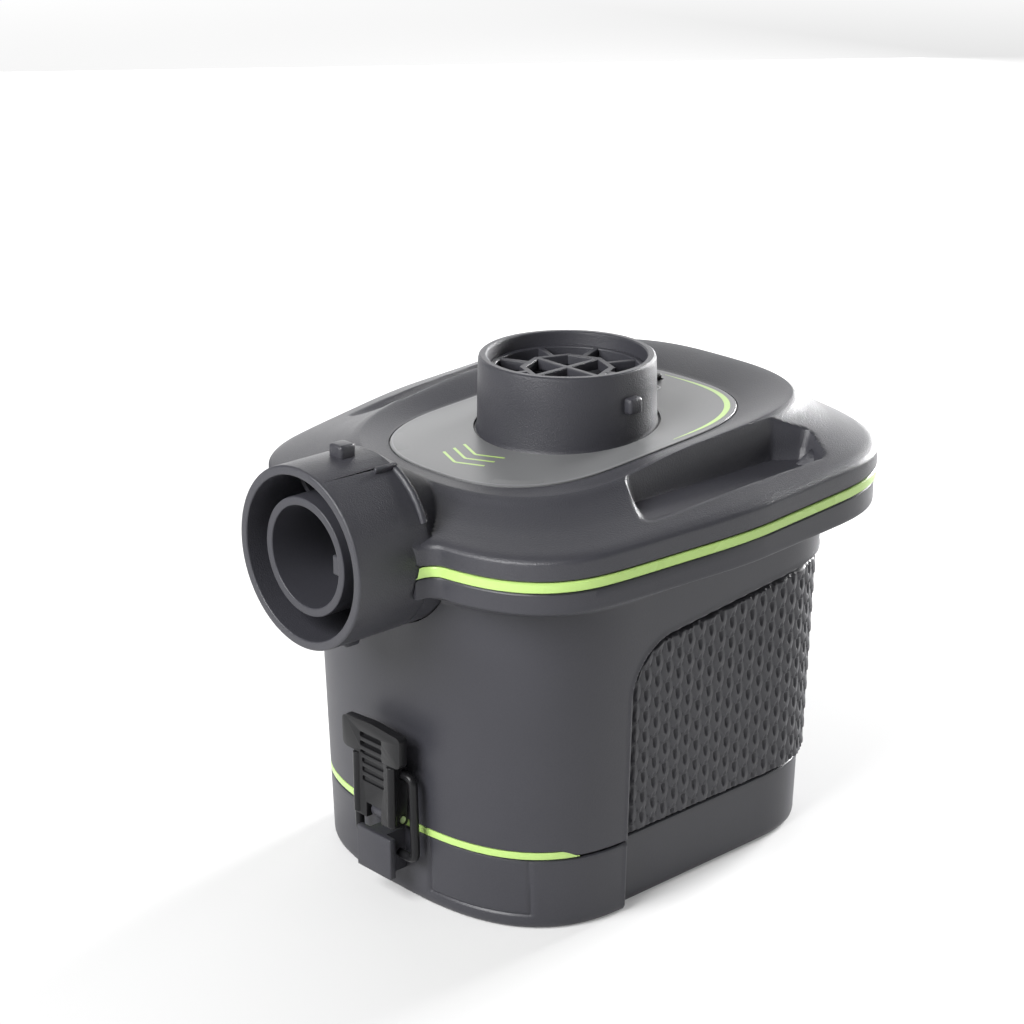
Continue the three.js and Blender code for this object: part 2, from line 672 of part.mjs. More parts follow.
function makeMagnet() {
  const sleeve = rod(MOTOR_R - 1.4, 67, 86, 28).subtract(rod(MOTOR_R - 3.6, 60, 90, 28));
  return sleeve.intersect(box(4.5, 20, -20, 20, 60, 90));
}

function makeRotorCore() {
  const slots = [];
  for (let i = 0; i < 3; i += 1) {
    slots.push(box(4, 12, -1.3, 1.3, 60, 90).rotate([0, 0, 120 * i]));
  }
  return rod(9.3, 69, 84, 24).subtract(joined(slots)).subtract(rod(SHAFT_R + GAP, 60, 90, 12));
}

function makeCommutator() {
  return rod(3.4, 64.8, 68.4, 12).subtract(rod(SHAFT_R + GAP, 60, 90, 12));
}

function makeShaft() {
  return rod(SHAFT_R, 60.8, 103, 12);
}

// ---------- batteries ----------
function cellSpots() {
  const spots = [];
  for (const row of [-0.5, 0.5]) {
    for (const column of [-1, 0, 1]) {
      spots.push([column * CELL_PITCH, row * (CELL_PITCH + 1)]);
    }
  }
  return spots;
}

function isUpright(index) {
  return index % 2 === 0;
}

// a C cell with its nub up, standing on z = 0
function makeCell() {
  const nub = CELL_LENGTH - 1.6;
  return turned([[0, 0], [CELL_R - 1, 0], [CELL_R, 0.8], [CELL_R, nub - 0.8], [CELL_R - 1, nub],
    [3.2, nub], [3.2, CELL_LENGTH], [0, CELL_LENGTH]], 16);
}

function makeTray() {
  const holes = cellSpots().map(([x, y]) => shifted(rod(CELL_R + 0.6, 10, 70, 16), x, y));
  return box(-TRAY_X, TRAY_X, -TRAY_Y, TRAY_Y, 23.5, 55.6).subtract(joined(holes));
}

function makeContactBoard() {
  const plate = box(-TRAY_X, TRAY_X, -TRAY_Y, TRAY_Y, BOARD_Z, BOARD_Z + 1.8);
  const vent = shifted(rod(3, 50, 70, 20), 0, -22).add(shifted(rod(3, 50, 70, 20), 0, 22));
  return plate.subtract(vent);
}

// a conical coil of wire under one cell, on a small foot
function makeSpring() {
  const turns = 2.5;
  const points = [];
  for (let i = 0; i <= 20; i += 1) {
    const share = i / 20;
    const angle = 2 * Math.PI * turns * share;
    const radius = 5.6 - 2.6 * share;
    points.push([radius * Math.cos(angle), radius * Math.sin(angle), 0.45 + 2.2 * share]);
  }
  return wire(points, 0.35, 4, 20);
}

// the lower strips join neighbouring cells in one row or across the rows
const LOWER_LINKS = [[0, 1], [2, 5], [4, 3]];
const UPPER_LINKS = [[0, 0], [1, 2], [5, 4], [3, 3]];

function contactStrip(from, to, z) {
  const spots = cellSpots();
  const [[x0, y0], [x1, y1]] = [spots[from], spots[to]];
  const half = 6.5;
  return box(Math.min(x0, x1) - half, Math.max(x0, x1) + half, Math.min(y0, y1) - half,
    Math.max(y0, y1) + half, z, z + 0.4);
}

// ---------- latch and hinge ----------
function makeLeverPlate() {
  const head = box(-11.8, 11.8, -71, -68.4, 42.5, 52);
  const bevel = box(-30, 30, -5, 5, -5, 5).rotate([45, 0, 0]).translate([0, -74.6, 55.1]);
  const plate = box(-7.8, 7.8, -70.4, -68.4, 23.6, 43);
  const flange = box(6, 7.8, -69.8, -65, 23.6, 42);
  return joined([head.subtract(bevel), plate, flange, mirroredX(flange)]);
}

function makeLatchLever() {
  let lever = makeLeverPlate();
  for (let i = 0; i < 6; i += 1) {
    const z = 31.5 + 3 * i;
    lever = lever.subtract(box(-4.4, 4.4, -72, -69.8, z, z + 1.5));
  }
  lever = lever.subtract(box(-3, 3, -75, -60, 20, 28));
  lever = lever.subtract(rodX(PIN_HOLE_R, -9, 9, LEVER_Y, LEVER_Z));
  return lever.subtract(rodX(ROD_R + GAP, -9, 9, BAIL_Y, BAIL_Z));
}

function makeLatchPin() {
  return rodX(PIN_R, -7.9, 7.9, LEVER_Y, LEVER_Z, 12);
}

// bent wire: a straight top bar through the lever, two legs, and two feet turned inwards
function makeBail() {
  const bend = 1.6;
  const leg = [];
  leg.push([0, BAIL_Y, BAIL_Z], [BAIL_X - 3, BAIL_Y, BAIL_Z], [BAIL_X - bend, BAIL_Y, BAIL_Z]);
  leg.push([BAIL_X, BAIL_Y, BAIL_Z - bend], [BAIL_X, (BAIL_Y + FOOT_Y) / 2, (BAIL_Z + FOOT_Z) / 2]);
  leg.push([BAIL_X, FOOT_Y, FOOT_Z + bend], [BAIL_X - bend, FOOT_Y, FOOT_Z], [5, FOOT_Y, FOOT_Z]);
  const half = wire(leg, ROD_R, 6, 20);
  const bar = rodX(ROD_R, -3, 3, BAIL_Y, BAIL_Z, 6);
  return joined([half, mirroredX(half), bar]);
}

function makeHingePin() {
  return rodX(PIN_R, -16.6, 16.6, HINGE_Y, HINGE_Z, 12);
}

// ---------- switch ----------
// built flat at its own centre, x along the rocker's length, then set on the sloping deck
function placeOnDeck(solid) {
  const angle = THREE.MathUtils.radToDeg(Math.atan(TILT));
  return solid.rotate([angle, 0, 0]).translate([SWITCH_X, SWITCH_Y, FLOOR_Z + TILT * SWITCH_Y]);
}

function makeSwitchBezel() {
  const [half, wide] = [ROCKER_LENGTH / 2, ROCKER_WIDTH / 2];
  const frame = box(-half - 2.2, half + 2.2, -wide - 2.2, wide + 2.2, 0.2, 1.9);
  const skirt = box(-half - 0.7, half + 0.7, -wide - 0.7, wide + 0.7, -4.5, 1);
  return placeOnDeck(frame.add(skirt).subtract(box(-half, half, -wide, wide, -10, 10)));
}

function makeRocker() {
  const [half, wide] = [ROCKER_LENGTH / 2 - 0.6, ROCKER_WIDTH / 2 - 0.4];
  const shape = new THREE.Shape();
  shape.moveTo(-half, -1.6);
  shape.lineTo(0, -2.2);
  shape.lineTo(half, -1.6);
  shape.lineTo(half, 2.2);
  shape.quadraticCurveTo(half - 4, 2.7, 0, 1.7);
  shape.quadraticCurveTo(-half + 4, 3.6, -half, 5);
  const geometry = new THREE.ExtrudeGeometry(shape, {
    depth: 2 * wide,
    bevelEnabled: false,
    curveSegments: 6,
  });
  geometry.rotateX(Math.PI / 2);
  geometry.translate(0, wide, 0);
  return placeOnDeck(toSolid(geometry));
}

function makeSwitchBody() {
  const [half, wide] = [ROCKER_LENGTH / 2 + 0.6, ROCKER_WIDTH / 2 + 0.6];
  const block = box(-half, half, -wide, wide, -11, -4.8);
  const blade = box(-4.6, -3.8, -2.4, 2.4, -12, -10).add(box(3.8, 4.6, -2.4, 2.4, -12, -10));
  return placeOnDeck(block.add(blade));
}

// ---------- fasteners and wires ----------
function makeHousingScrew([x, y]) {
  const [head, shank, tip] = [2.9, 1.45, 0.9];
  const profile = [[0, 85.4], [head, 85.4], [head, 87.7], [shank, 87.7], [shank, 95], [tip, 108], [0, 108]];
  return shifted(turned(profile, 8).subtract(box(-2, 2, -0.4, 0.4, 80, 86.4)), x, y);
}

function makeMotorScrew(x) {
  const screw = turned([[0, 86], [1.2, 86], [1.2, 92.1], [2.4, 92.1], [1.7, 93], [0, 93]], 8);
  return shifted(screw, x, 0);
}

function makeWire(side) {
  const end = SWITCH_X + side * 4;
  const points = [[end + side * 12, 26, 60.2], [end + side * 12, 38, 64], [end + side * 10, 44, 80],
    [end + side * 3, 44, 98], [end, 42, 105], [end, 40, 109.2]];
  return wire(points, 0.9, 6, 12);
}

// ---------- assembly ----------
const pump = new THREE.Group();

function addPart(name, solid, material) {
  const mesh = new THREE.Mesh(toGeometry(solid), material);
  mesh.name = name;
  pump.add(mesh);
}

addPart('lower_housing', makeLowerHousing(), shellPlastic);
addPart('top_cover', makeTopCover(), shellPlastic);
addPart('battery_cover', makeBatteryCover(), shellPlastic);
addPart('upper_accent_stripe', makeUpperStripe(), accentGreen);
addPart('lower_accent_stripe', makeLowerStripe(), accentGreen);
addPart('top_label', makeTopLabel(), labelGrey);
addPart('intake_grille', makeGrille(), shellPlastic);
addPart('side_grip_right', makeSideGrip(), gripRubber);
addPart('side_grip_left', mirroredX(makeSideGrip()), gripRubber);

addPart('volute_casing', makeVoluteCasing(), innerPlastic);
addPart('volute_lid', makeVoluteLid(), innerPlastic);
addPart('impeller', makeImpeller(), impellerPlastic);
addPart('motor_can', makeMotorCan(), steel);
addPart('motor_end_cap', makeMotorEndCap(), blackPlastic);
addPart('motor_shaft', makeShaft(), steel);
addPart('rotor_core', makeRotorCore(), magnetGrey);
addPart('commutator', makeCommutator(), copper);
addPart('magnet_right', makeMagnet(), magnetGrey);
addPart('magnet_left', mirroredX(makeMagnet()), magnetGrey);
addPart('motor_screw_right', makeMotorScrew(MOTOR_SCREW_X), steel);
addPart('motor_screw_left', makeMotorScrew(-MOTOR_SCREW_X), steel);

addPart('battery_tray', makeTray(), innerPlastic);
addPart('contact_board', makeContactBoard(), innerPlastic);
cellSpots().forEach(([x, y], index) => {
  const cell = makeCell();
  const number = index + 1;
  if (isUpright(index)) {
    addPart(`cell_${number}`, shifted(cell, x, y, CELL_UP_BASE), cellJacket);
    addPart(`lower_spring_${number}`, shifted(makeSpring(), x, y, 3.2), nickel);
  } else {
    const turnedOver = cell.rotate([180, 0, 0]);
    addPart(`cell_${number}`, shifted(turnedOver, x, y, CELL_DOWN_BASE + CELL_LENGTH), cellJacket);
    addPart(`upper_spring_${number}`, shifted(makeSpring().rotate([180, 0, 0]), x, y, 56.5), nickel);
  }
});
LOWER_LINKS.forEach(([from, to], index) => {
  addPart(`lower_contact_${index + 1}`, contactStrip(from, to, WALL + GAP), nickel);
});
UPPER_LINKS.forEach(([from, to], index) => {
  addPart(`upper_contact_${index + 1}`, contactStrip(from, to, BOARD_Z - 0.7), nickel);
});

addPart('latch_lever', makeLatchLever(), blackPlastic);
addPart('latch_bail', makeBail(), blackPlastic);
addPart('latch_pin', makeLatchPin(), steel);
addPart('hinge_pin', makeHingePin(), steel);
addPart('switch_bezel', makeSwitchBezel(), blackPlastic);
addPart('switch_rocker', makeRocker(), blackPlastic);
addPart('switch_body', makeSwitchBody(), blackPlastic);
SCREW_SPOTS.forEach((spot, index) => {
  addPart(`housing_screw_${index + 1}`, makeHousingScrew(spot), steel);
});
addPart('wire_red', makeWire(1), wireRed);
addPart('wire_black', makeWire(-1), wireBlack);

export default pump;
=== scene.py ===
"""Battery-powered air mattress pump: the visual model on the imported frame.

Lengths are millimetres until mesh_object() scales them to metres. +Z is up, the outlet port faces -Y,
x = 0 is the plane of symmetry, and the origin is on the standing face under the impeller axis.
"""

import math

import bmesh
import bpy
import numpy as np
from mathutils import Matrix, Vector


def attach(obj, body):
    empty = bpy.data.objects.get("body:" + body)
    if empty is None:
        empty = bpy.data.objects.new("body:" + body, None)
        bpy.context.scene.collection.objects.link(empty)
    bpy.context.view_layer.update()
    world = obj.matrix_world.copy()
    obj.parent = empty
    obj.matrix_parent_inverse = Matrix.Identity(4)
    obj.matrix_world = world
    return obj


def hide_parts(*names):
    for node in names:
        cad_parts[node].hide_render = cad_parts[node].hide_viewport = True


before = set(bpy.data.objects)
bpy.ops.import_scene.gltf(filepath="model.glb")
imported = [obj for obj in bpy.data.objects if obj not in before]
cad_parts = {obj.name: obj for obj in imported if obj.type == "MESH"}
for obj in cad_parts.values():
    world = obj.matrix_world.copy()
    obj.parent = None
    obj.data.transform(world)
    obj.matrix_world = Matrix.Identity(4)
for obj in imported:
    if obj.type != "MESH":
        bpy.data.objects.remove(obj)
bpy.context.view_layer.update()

# ----- driving dimensions, the same as the frame's -----
MM = 0.001
GAP = 0.3
WALL = 2.2

COVER_TOP = 20.6
HOUSING_BASE = COVER_TOP + GAP
WALL_TOP = 90.0
LIP_BASE = 100.4
TILT = 0.0625
STRIPE_LOW = 105.1
STRIPE_HIGH = 107.8
EDGE_TOP = 112.6
FLOOR_Z = 119.7

PORT_R = 24.0
BORE_R = 21.5
TOP_PORT_RIM = 139.0
PORT_BASE = 112.0
OUTLET_Z = 103.9
OUTLET_FRONT = -92.8
BOSS_FRONT = -70.0
BOSS_TAPER = 0.66
BORE_BACK = -71.5
CORNER_R = 5.0
DUCT_BACK = -61.2
DUCT_R, DUCT_WALL = 15.6, 2.3
VOLUTE_BASE, VOLUTE_TOP, VOLUTE_WALL = 90.0, 107.5, 1.8

RECESS_Y = -25.5
RECESS_TOP = 78.0
RECESS_RISE = 0.1
RECESS_CORNER = 17.0
BEAD = 0.3

HINGE_Y, HINGE_Z, HINGE_R = 66.2, 20.75, 2.9
LEVER_Y, LEVER_Z = -67.0, 25.5
LUG_R, LUG_X = 2.2, 2.6
BAIL_Y, BAIL_Z = -66.4, 38.5
FOOT_Y, FOOT_Z = -65.8, 14.5
ROD_R = 1.25
BAIL_X = 11.5

CELL_R, CELL_LENGTH, CELL_PITCH = 13.1, 49.7, 27.2
SWITCH_X, SWITCH_Y = -13.5, 34.0
ROCKER_LENGTH, ROCKER_WIDTH = 15.0, 9.6
PIN_HOLE_R, KNUCKLE_HOLE_R = 1.35, 1.6
GRILLE_LOW, GRILLE_HIGH = 132.4, 135.2
CELL_UP_BASE, CELL_DOWN_BASE = 6.4, 3.4
SPRING_UP_BASE, SPRING_DOWN_BASE = 3.2, 56.5
# the second lift carries the pale painted highlight along the label's rim
PRINT_LIFT, RIM_HIGHLIGHT_LIFT = 0.28, 0.27
PRINT_LINE = 0.55

# plan outlines: half width, then centre, reach and roundness of the front and back ends
BODY = {"a": 49.6, "front": (-22.5, 38.9, 2.7), "back": (28.0, 33.0, 3.0)}
RECESS = {"a": 46.8, "front": (-22.5, 38.0, 2.7), "back": (28.0, 33.0, 3.0)}
DECK = {"a": 70.6, "front": (-20.0, 51.0, 3.4), "back": (28.0, 41.0, 3.0), "taper": 0.085}
CREST = {"a": 44.5, "front": (-14.0, 40.0, 2.6), "back": (16.0, 45.5, 2.9)}
LABEL = {"a": 35.5, "front": (-14.0, 35.5, 2.6), "back": (10.0, 37.5, 2.8)}

BACK_STEPS, SIDE_STEPS, FRONT_STEPS = 250, 64, 270


# ----- number helpers -----
stacked = np.column_stack


def smoothstep(value, low, high):
    share = np.clip((value - low) / (high - low), 0.0, 1.0)
    return share * share * (3.0 - 2.0 * share)


def smooth_max(a, b, reach):
    """The larger of two heights, with a fillet of about that reach where they cross."""
    mix = np.clip(0.5 + 0.5 * (a - b) / reach, 0.0, 1.0)
    return b + (a - b) * mix + reach * mix * (1.0 - mix)


def catmull(points, steps):
    """A smooth curve through the points, with that many steps between neighbours."""
    points = np.asarray(points, float)
    ends = np.vstack([2 * points[0] - points[1], points, 2 * points[-1] - points[-2]])
    found = []
    for i in range(1, len(ends) - 2):
        before, start, stop, after = ends[i - 1 : i + 3]
        for t in np.arange(steps) / steps:
            line, bend = stop - before, 2 * before - 5 * start + 4 * stop - after
            twist = 3 * start - 3 * stop + after - before
            found.append(0.5 * (2 * start + line * t + bend * t * t + twist * t**3))
    found.append(points[-1])
    return np.array(found)


def filleted(points, radii, closed=True, steps=5):
    """The polyline with each corner rounded to its own radius."""
    points = [np.asarray(p, float) for p in points]
    radii = [radii] * len(points) if np.isscalar(radii) else list(radii)
    found = []
    count = len(points)
    for i, (corner, radius) in enumerate(zip(points, radii)):
        at_end = not closed and i in (0, count - 1)
        if at_end or radius <= 0:
            found.append(corner)
            continue
        back, ahead = points[i - 1] - corner, points[(i + 1) % count] - corner
        cut = min(radius, 0.49 * np.linalg.norm(back), 0.49 * np.linalg.norm(ahead))
        start = corner + back / np.linalg.norm(back) * cut
        stop = corner + ahead / np.linalg.norm(ahead) * cut
        for t in np.arange(steps + 1) / steps:
            found.append((1 - t) ** 2 * start + 2 * t * (1 - t) * corner + t * t * stop)
    return np.array(found)


def even_turn(sides):
    return np.linspace(0, 2 * math.pi, sides, endpoint=False)


def circle(turn, radius, centre=(0.0, 0.0)):
    """Points of a flat circle in the directions of those angles."""
    return stacked([centre[0] + radius * np.cos(turn), centre[1] + radius * np.sin(turn)])


# ----- plan outlines -----
def arc(plan, side, grow, steps):
    """Points at even steps along the front or back end of an outline, against the clock."""
    centre, reach, roundness = plan[side]
    turn = np.linspace(0, math.pi, 3000)
    sign = 1 if side == "back" else -1
    x = (plan["a"] + grow) * np.sign(np.cos(turn)) * np.abs(np.cos(turn)) ** (2 / roundness) * sign
    y = centre + sign * (reach + grow) * np.abs(np.sin(turn)) ** (2 / roundness)
    along = np.concatenate([[0], np.cumsum(np.hypot(np.diff(x), np.diff(y)))])
    wanted = along[-1] * np.arange(steps) / steps
    return stacked([np.interp(wanted, along, x), np.interp(wanted, along, y)])


def outline(plan, grow=0.0):
    """A closed outline against the clock from +X. Outlines of different plans line up point by point."""
    back, front = plan["back"][0], plan["front"][0]
    side = plan["a"] + grow
    left = stacked([np.full(SIDE_STEPS, -side), np.linspace(back, front, SIDE_STEPS, False)])
    right = stacked([np.full(SIDE_STEPS, side), np.linspace(front, back, SIDE_STEPS, False)])
    ends = arc(plan, "back", grow, BACK_STEPS), arc(plan, "front", grow, FRONT_STEPS)
    points = np.vstack([ends[0], left, ends[1], right])
    points[:, 0] *= 1 - plan.get("taper", 0.0) * smoothstep(-points[:, 1], -5.0, 45.0)
    return points


def around_port(points, share=1.0):
    """Turns the front edge forward along the outlet port in a concave corner, by that share of it."""
    x, y = np.abs(points[:, 0]), points[:, 1]
    inward = np.clip(PORT_R + CORNER_R - x, 0.0, CORNER_R)
    forward = CORNER_R - np.sqrt(CORNER_R**2 - inward**2)
    forward = forward * smoothstep(x, 20.8, 22.8) * (y < -40)
    moved_points = points.copy()
    moved_points[:, 1] -= forward * share
    return moved_points


def level(points, z):
    """Lifts a plan outline to a height, which may differ from point to point."""
    return stacked([points, np.broadcast_to(z, len(points))])


def tilted(points, z):
    return level(points, z + TILT * points[:, 1])


def shrunk(ring, share):
    return ring * [share, share, 1.0]


def sideways(path):
    """The direction to the left of a plan path at each of its points."""
    along = np.gradient(path, axis=0)
    along /= np.linalg.norm(along, axis=1)[:, None]
    return stacked([-along[:, 1], along[:, 0]])


def circle_like(points, radius):
    """A circle about Z whose points lie in the same directions as the outline's."""
    return circle(np.arctan2(points[:, 1], points[:, 0]), radius)


def body_grow(z):
    """The body's draft: it widens upwards."""
    return 0.6 + 0.028 * z


STRIPE_GROW = body_grow(22.0) + 0.05


def distance_to(points, corners, radius):
    """Signed distance, negative inside, to a polygon whose corners are rounded outwards by radius."""
    corners = np.asarray(corners, float)
    nearest = np.full(len(points), 1e9)
    inside = np.zeros(len(points), bool)
    for start, stop in zip(corners, np.roll(corners, -1, axis=0)):
        edge = stop - start
        offset = points - start
        share = np.clip(offset @ edge / (edge @ edge), 0, 1)
        nearest = np.minimum(nearest, np.linalg.norm(offset - share[:, None] * edge, axis=1))
        spans = (start[1] > points[:, 1]) != (stop[1] > points[:, 1])
        rise = edge[1] if edge[1] else 1e-12
        inside ^= spans & (points[:, 0] < start[0] + edge[0] * (points[:, 1] - start[1]) / rise)
    return np.where(inside, -nearest, nearest) - radius


# ----- mesh helpers -----
def added(name, data):
    made = bpy.data.objects.new(name, data)
    bpy.context.scene.collection.objects.link(made)
    return made


def mesh_object(name, points, faces):
    mesh = bpy.data.meshes.new(name)
    mesh.from_pydata((np.asarray(points, float) * MM).tolist(), [], [list(map(int, f)) for f in faces])
    mesh.update()
    return added(name, mesh)


def grid_faces(rows, columns, close_rows=False, close_columns=True):
    down = np.arange(rows if close_rows else rows - 1)
    across = np.arange(columns if close_columns else columns - 1)
    j, i = np.meshgrid(down, across, indexing="ij")
    j, i = j.ravel(), i.ravel()
    below, above = j * columns, (j + 1) % rows * columns
    right = (i + 1) % columns
    return stacked([below + i, below + right, above + right, above + i])


def sleeve(name, rings):
    """A closed surface through rings that line up, the last ring joined to the first."""
    return outward(mesh_object(name, np.concatenate(rings), grid_faces(len(rings), len(rings[0]), True)))


def capped(name, rings):
    """A solid through rings, closed by a fan of triangles at each end."""
    count = len(rings[0])
    points = np.concatenate([*rings, [rings[0].mean(0)], [rings[-1].mean(0)]])
    faces = [list(f) for f in grid_faces(len(rings), count)]
    low, high = len(points) - 2, len(points) - 1
    top = (len(rings) - 1) * count
    for i in range(count):
        j = (i + 1) % count
        faces.append([j, i, low])
        faces.append([top + i, top + j, high])
    return mesh_object(name, points, faces)


def turned_rings(profile, sides):
    """Rings about Z, one for each (radius, height) of the profile."""
    turn = even_turn(sides)
    return [level(circle(turn, r), z) for r, z in profile]


def turned(name, profile, sides=128):
    """A solid turned about Z from a closed profile of (radius, height)."""
    return sleeve(name, turned_rings(profile, sides))


def rod(name, radius, low, high, sides=96, soften=0.0):
    """A solid cylinder about Z, with its rims rounded by soften."""
    profile = [(radius, low), (radius, high)]
    if soften:
        profile = filleted([(radius * 0.5, low), *profile, (radius * 0.5, high)], soften, closed=False)
    return capped(name, turned_rings(profile, sides))


def prism(name, shape, low, high, plane="XZ"):
    """A straight solid from a flat shape: its corners lie in that plane and it runs along the third axis."""
    shape = np.asarray(shape, float)
    order = {"XY": (0, 1, 2), "XZ": (0, 2, 1), "YZ": (1, 2, 0)}[plane]
    rings = []
    for along in (low, high):
        ring = np.zeros((len(shape), 3))
        ring[:, order] = level(shape, along)
        rings.append(ring)
    count = len(shape)
    faces = [list(f) for f in grid_faces(2, count)]
    faces.append(list(reversed(range(count))))
    faces.append([count + i for i in range(count)])
    return outward(mesh_object(name, np.concatenate(rings), faces))


def block(name, x, y, z):
    corners = [(x[0], y[0]), (x[1], y[0]), (x[1], y[1]), (x[0], y[1])]
    return prism(name, corners, z[0], z[1], "XY")


def tube(name, path, radius, sides=16):
    """A round wire along a path, with domed ends."""
    path = np.asarray(path, float)
    tangents = np.gradient(path, axis=0)
    tangents /= np.linalg.norm(tangents, axis=1)[:, None]
    across = np.cross(tangents[0], [0.31, 0.87, 0.39])
    rings = []
    angles = even_turn(sides)
    for k, (centre, tangent) in enumerate(zip(path, tangents)):
        across = across - tangent * (across @ tangent)
        across /= np.linalg.norm(across)
        other = np.cross(tangent, across)
        circle = np.outer(np.cos(angles), across) + np.outer(np.sin(angles), other)
        if k == 0:
            rings += [centre + tangent * 0.3 * radius * (1 - s) + circle * radius * s for s in (0.6, 0.9)]
        rings.append(centre + circle * radius)
        if k == len(path) - 1:
            rings += [centre + circle * radius * s for s in (0.9, 0.6)]
    return capped(name, rings)


def outward(made):
    """Turns every face so that its front is outside."""
    held = bmesh.new()
    held.from_mesh(made.data)
    bmesh.ops.recalc_face_normals(held, faces=held.faces)
    held.to_mesh(made.data)
    held.free()
    return made


def moved(made, matrix):
    made.data.transform(matrix)
    made.data.update()
    return made


def shifted(made, x=0.0, y=0.0, z=0.0):
    return moved(made, Matrix.Translation((x * MM, y * MM, z * MM)))


def spun(made, degrees, axis="Z", about=(0.0, 0.0, 0.0)):
    place = Matrix.Translation(Vector(about) * MM)
    return moved(made, place @ Matrix.Rotation(math.radians(degrees), 4, axis) @ place.inverted())


def facing_outlet(made):
    """Lays a turned solid along Y about the outlet port's axis: its height becomes y."""
    return shifted(outward(moved(made, Matrix.Rotation(math.radians(-90), 4, "X"))), z=OUTLET_Z)


def mirrored(made, name):
    other = added(name, made.data.copy())
    moved(other, Matrix.Scale(-1, 4, (1, 0, 0)))
    other.data.flip_normals()
    return other


def bake(made):
    """Applies the modifiers."""
    graph = bpy.context.evaluated_depsgraph_get()
    made.data = bpy.data.meshes.new_from_object(made.evaluated_get(graph))
    made.modifiers.clear()
    return made


def combine(made, tools, operation="UNION"):
    """Adds the tools to a solid, or takes them away, one by one."""
    for tool in tools if isinstance(tools, list) else [tools]:
        step = made.modifiers.new("combine", "BOOLEAN")
        step.operation = operation
        step.solver = "MANIFOLD"
        step.object = tool
        before = len(made.data.polygons)
        bake(made)
        if not made.data.polygons:
            raise RuntimeError(f"{made.name}: {operation} with {tool.name} left nothing of {before} faces")
        bpy.data.objects.remove(tool)
    return made


def carve(made, tools):
    return combine(made, tools, "DIFFERENCE")


def add_bevel(made, width, angle, segments):
    step = made.modifiers.new("bevel", "BEVEL")
    step.width = width * MM
    step.segments = segments
    step.limit_method = "ANGLE"
    step.angle_limit = math.radians(angle)


def beveled(made, width, segments=3):
    add_bevel(made, width, 35.0, segments)
    return bake(made)


def paint(made, material):
    made.data.materials.clear()
    made.data.materials.append(material)


def finished(made, material, nodes=(), sharp=38.0, body="housing"):
    """Shades a piece, gives it its material and sets it on its body."""
    for polygon in made.data.polygons:
        polygon.use_smooth = True
    made.data.set_sharp_from_angle(angle=math.radians(sharp))
    paint(made, material)
    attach(made, body)
    if nodes:
        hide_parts(*nodes)


# ----- materials -----
def new_material(name):
    material = bpy.data.materials.new(name)
    material.use_nodes = True
    nodes = material.node_tree.nodes
    return material, nodes, material.node_tree.links, nodes["Principled BSDF"]


def fill(node, values):
    for key, value in values.items():
        node.inputs[key].default_value = value


def noise(nodes, links, scale, detail=3.0):
    coords = nodes.new("ShaderNodeTexCoord")
    found = nodes.new("ShaderNodeTexNoise")
    fill(found, {"Scale": scale, "Detail": detail, "Roughness": 0.6})
    links.new(coords.outputs["Object"], found.inputs["Vector"])
    return found


def mapped(nodes, links, source, low, high, from_low=0.3, from_high=0.7):
    scale = nodes.new("ShaderNodeMapRange")
    fill(scale, {"From Min": from_low, "From Max": from_high, "To Min": low, "To Max": high})
    links.new(source, scale.inputs["Value"])
    return scale.outputs["Result"]


def moulded(name, colour, rough, grain=0.45, depth=0.03, mottle=0.08, metallic=0.0, specular=0.5):
    """Moulded plastic, rubber or metal: a fine grain of that size and depth in mm over a slow mottling."""
    material, nodes, links, shader = new_material(name)
    slow = noise(nodes, links, 28.0)
    fine = noise(nodes, links, 1.0 / (grain * MM), detail=2.0)
    shade = nodes.new("ShaderNodeMix")
    shade.data_type = "RGBA"
    darker, lighter = [c * (1 - mottle) for c in colour], [min(1.0, c * (1 + mottle)) for c in colour]
    fill(shade, {6: (*darker, 1), 7: (*lighter, 1)})
    both = nodes.new("ShaderNodeMath")
    both.operation = "ADD"
    links.new(mapped(nodes, links, slow.outputs["Fac"], 0.0, 0.5), both.inputs[0])
    links.new(mapped(nodes, links, fine.outputs["Fac"], 0.0, 0.5), both.inputs[1])
    links.new(both.outputs[0], shade.inputs[0])
    links.new(shade.outputs[2], shader.inputs["Base Color"])
    spread = mapped(nodes, links, slow.outputs["Fac"], rough * 0.93, min(1.0, rough * 1.07))
    links.new(spread, shader.inputs["Roughness"])
    bump = nodes.new("ShaderNodeBump")
    bump.inputs["Distance"].default_value = depth * MM
    links.new(fine.outputs["Fac"], bump.inputs["Height"])
    links.new(bump.outputs["Normal"], shader.inputs["Normal"])
    fill(shader, {"Metallic": metallic, "Specular IOR Level": specular})
    return material


SHELL = moulded("shell_plastic", (0.035, 0.035, 0.042), 0.42, grain=0.5, depth=0.035, specular=0.4)
DECK_GRAIN = moulded("deck_plastic", (0.035, 0.035, 0.042), 0.44, grain=0.42, depth=0.11)
RUBBER = moulded("grip_rubber", (0.03, 0.03, 0.036), 0.5, grain=0.4, depth=0.03)
GREEN = moulded("accent_green", (0.4, 0.58, 0.17), 0.28, grain=0.8, depth=0.01, mottle=0.04)
LABEL_GREY = moulded("label_film", (0.15, 0.152, 0.155), 0.36, grain=0.3, depth=0.015, mottle=0.05)
# a paler grey for the line along the label's rim: a painted highlight in place of the light caught by its
# rounded edge
RIM_HIGHLIGHT_PAINT = moulded("rim_highlight_paint", (0.2, 0.2, 0.21), 0.4, grain=0.3, depth=0.01, mottle=0.04)
PRINT_PALE = moulded("print_pale", (0.42, 0.43, 0.44), 0.45, grain=0.3, depth=0.01, mottle=0.03)
BLACK = moulded("black_plastic", (0.01, 0.01, 0.011), 0.32, grain=0.6, depth=0.012, specular=0.25)
INNER = moulded("inner_plastic", (0.03, 0.03, 0.034), 0.5, grain=0.5, depth=0.03)
IMPELLER = moulded("impeller_plastic", (0.62, 0.62, 0.58), 0.45, grain=0.5, depth=0.02)
STEEL = moulded("steel", (0.55, 0.55, 0.56), 0.32, grain=0.3, depth=0.006, metallic=1.0)
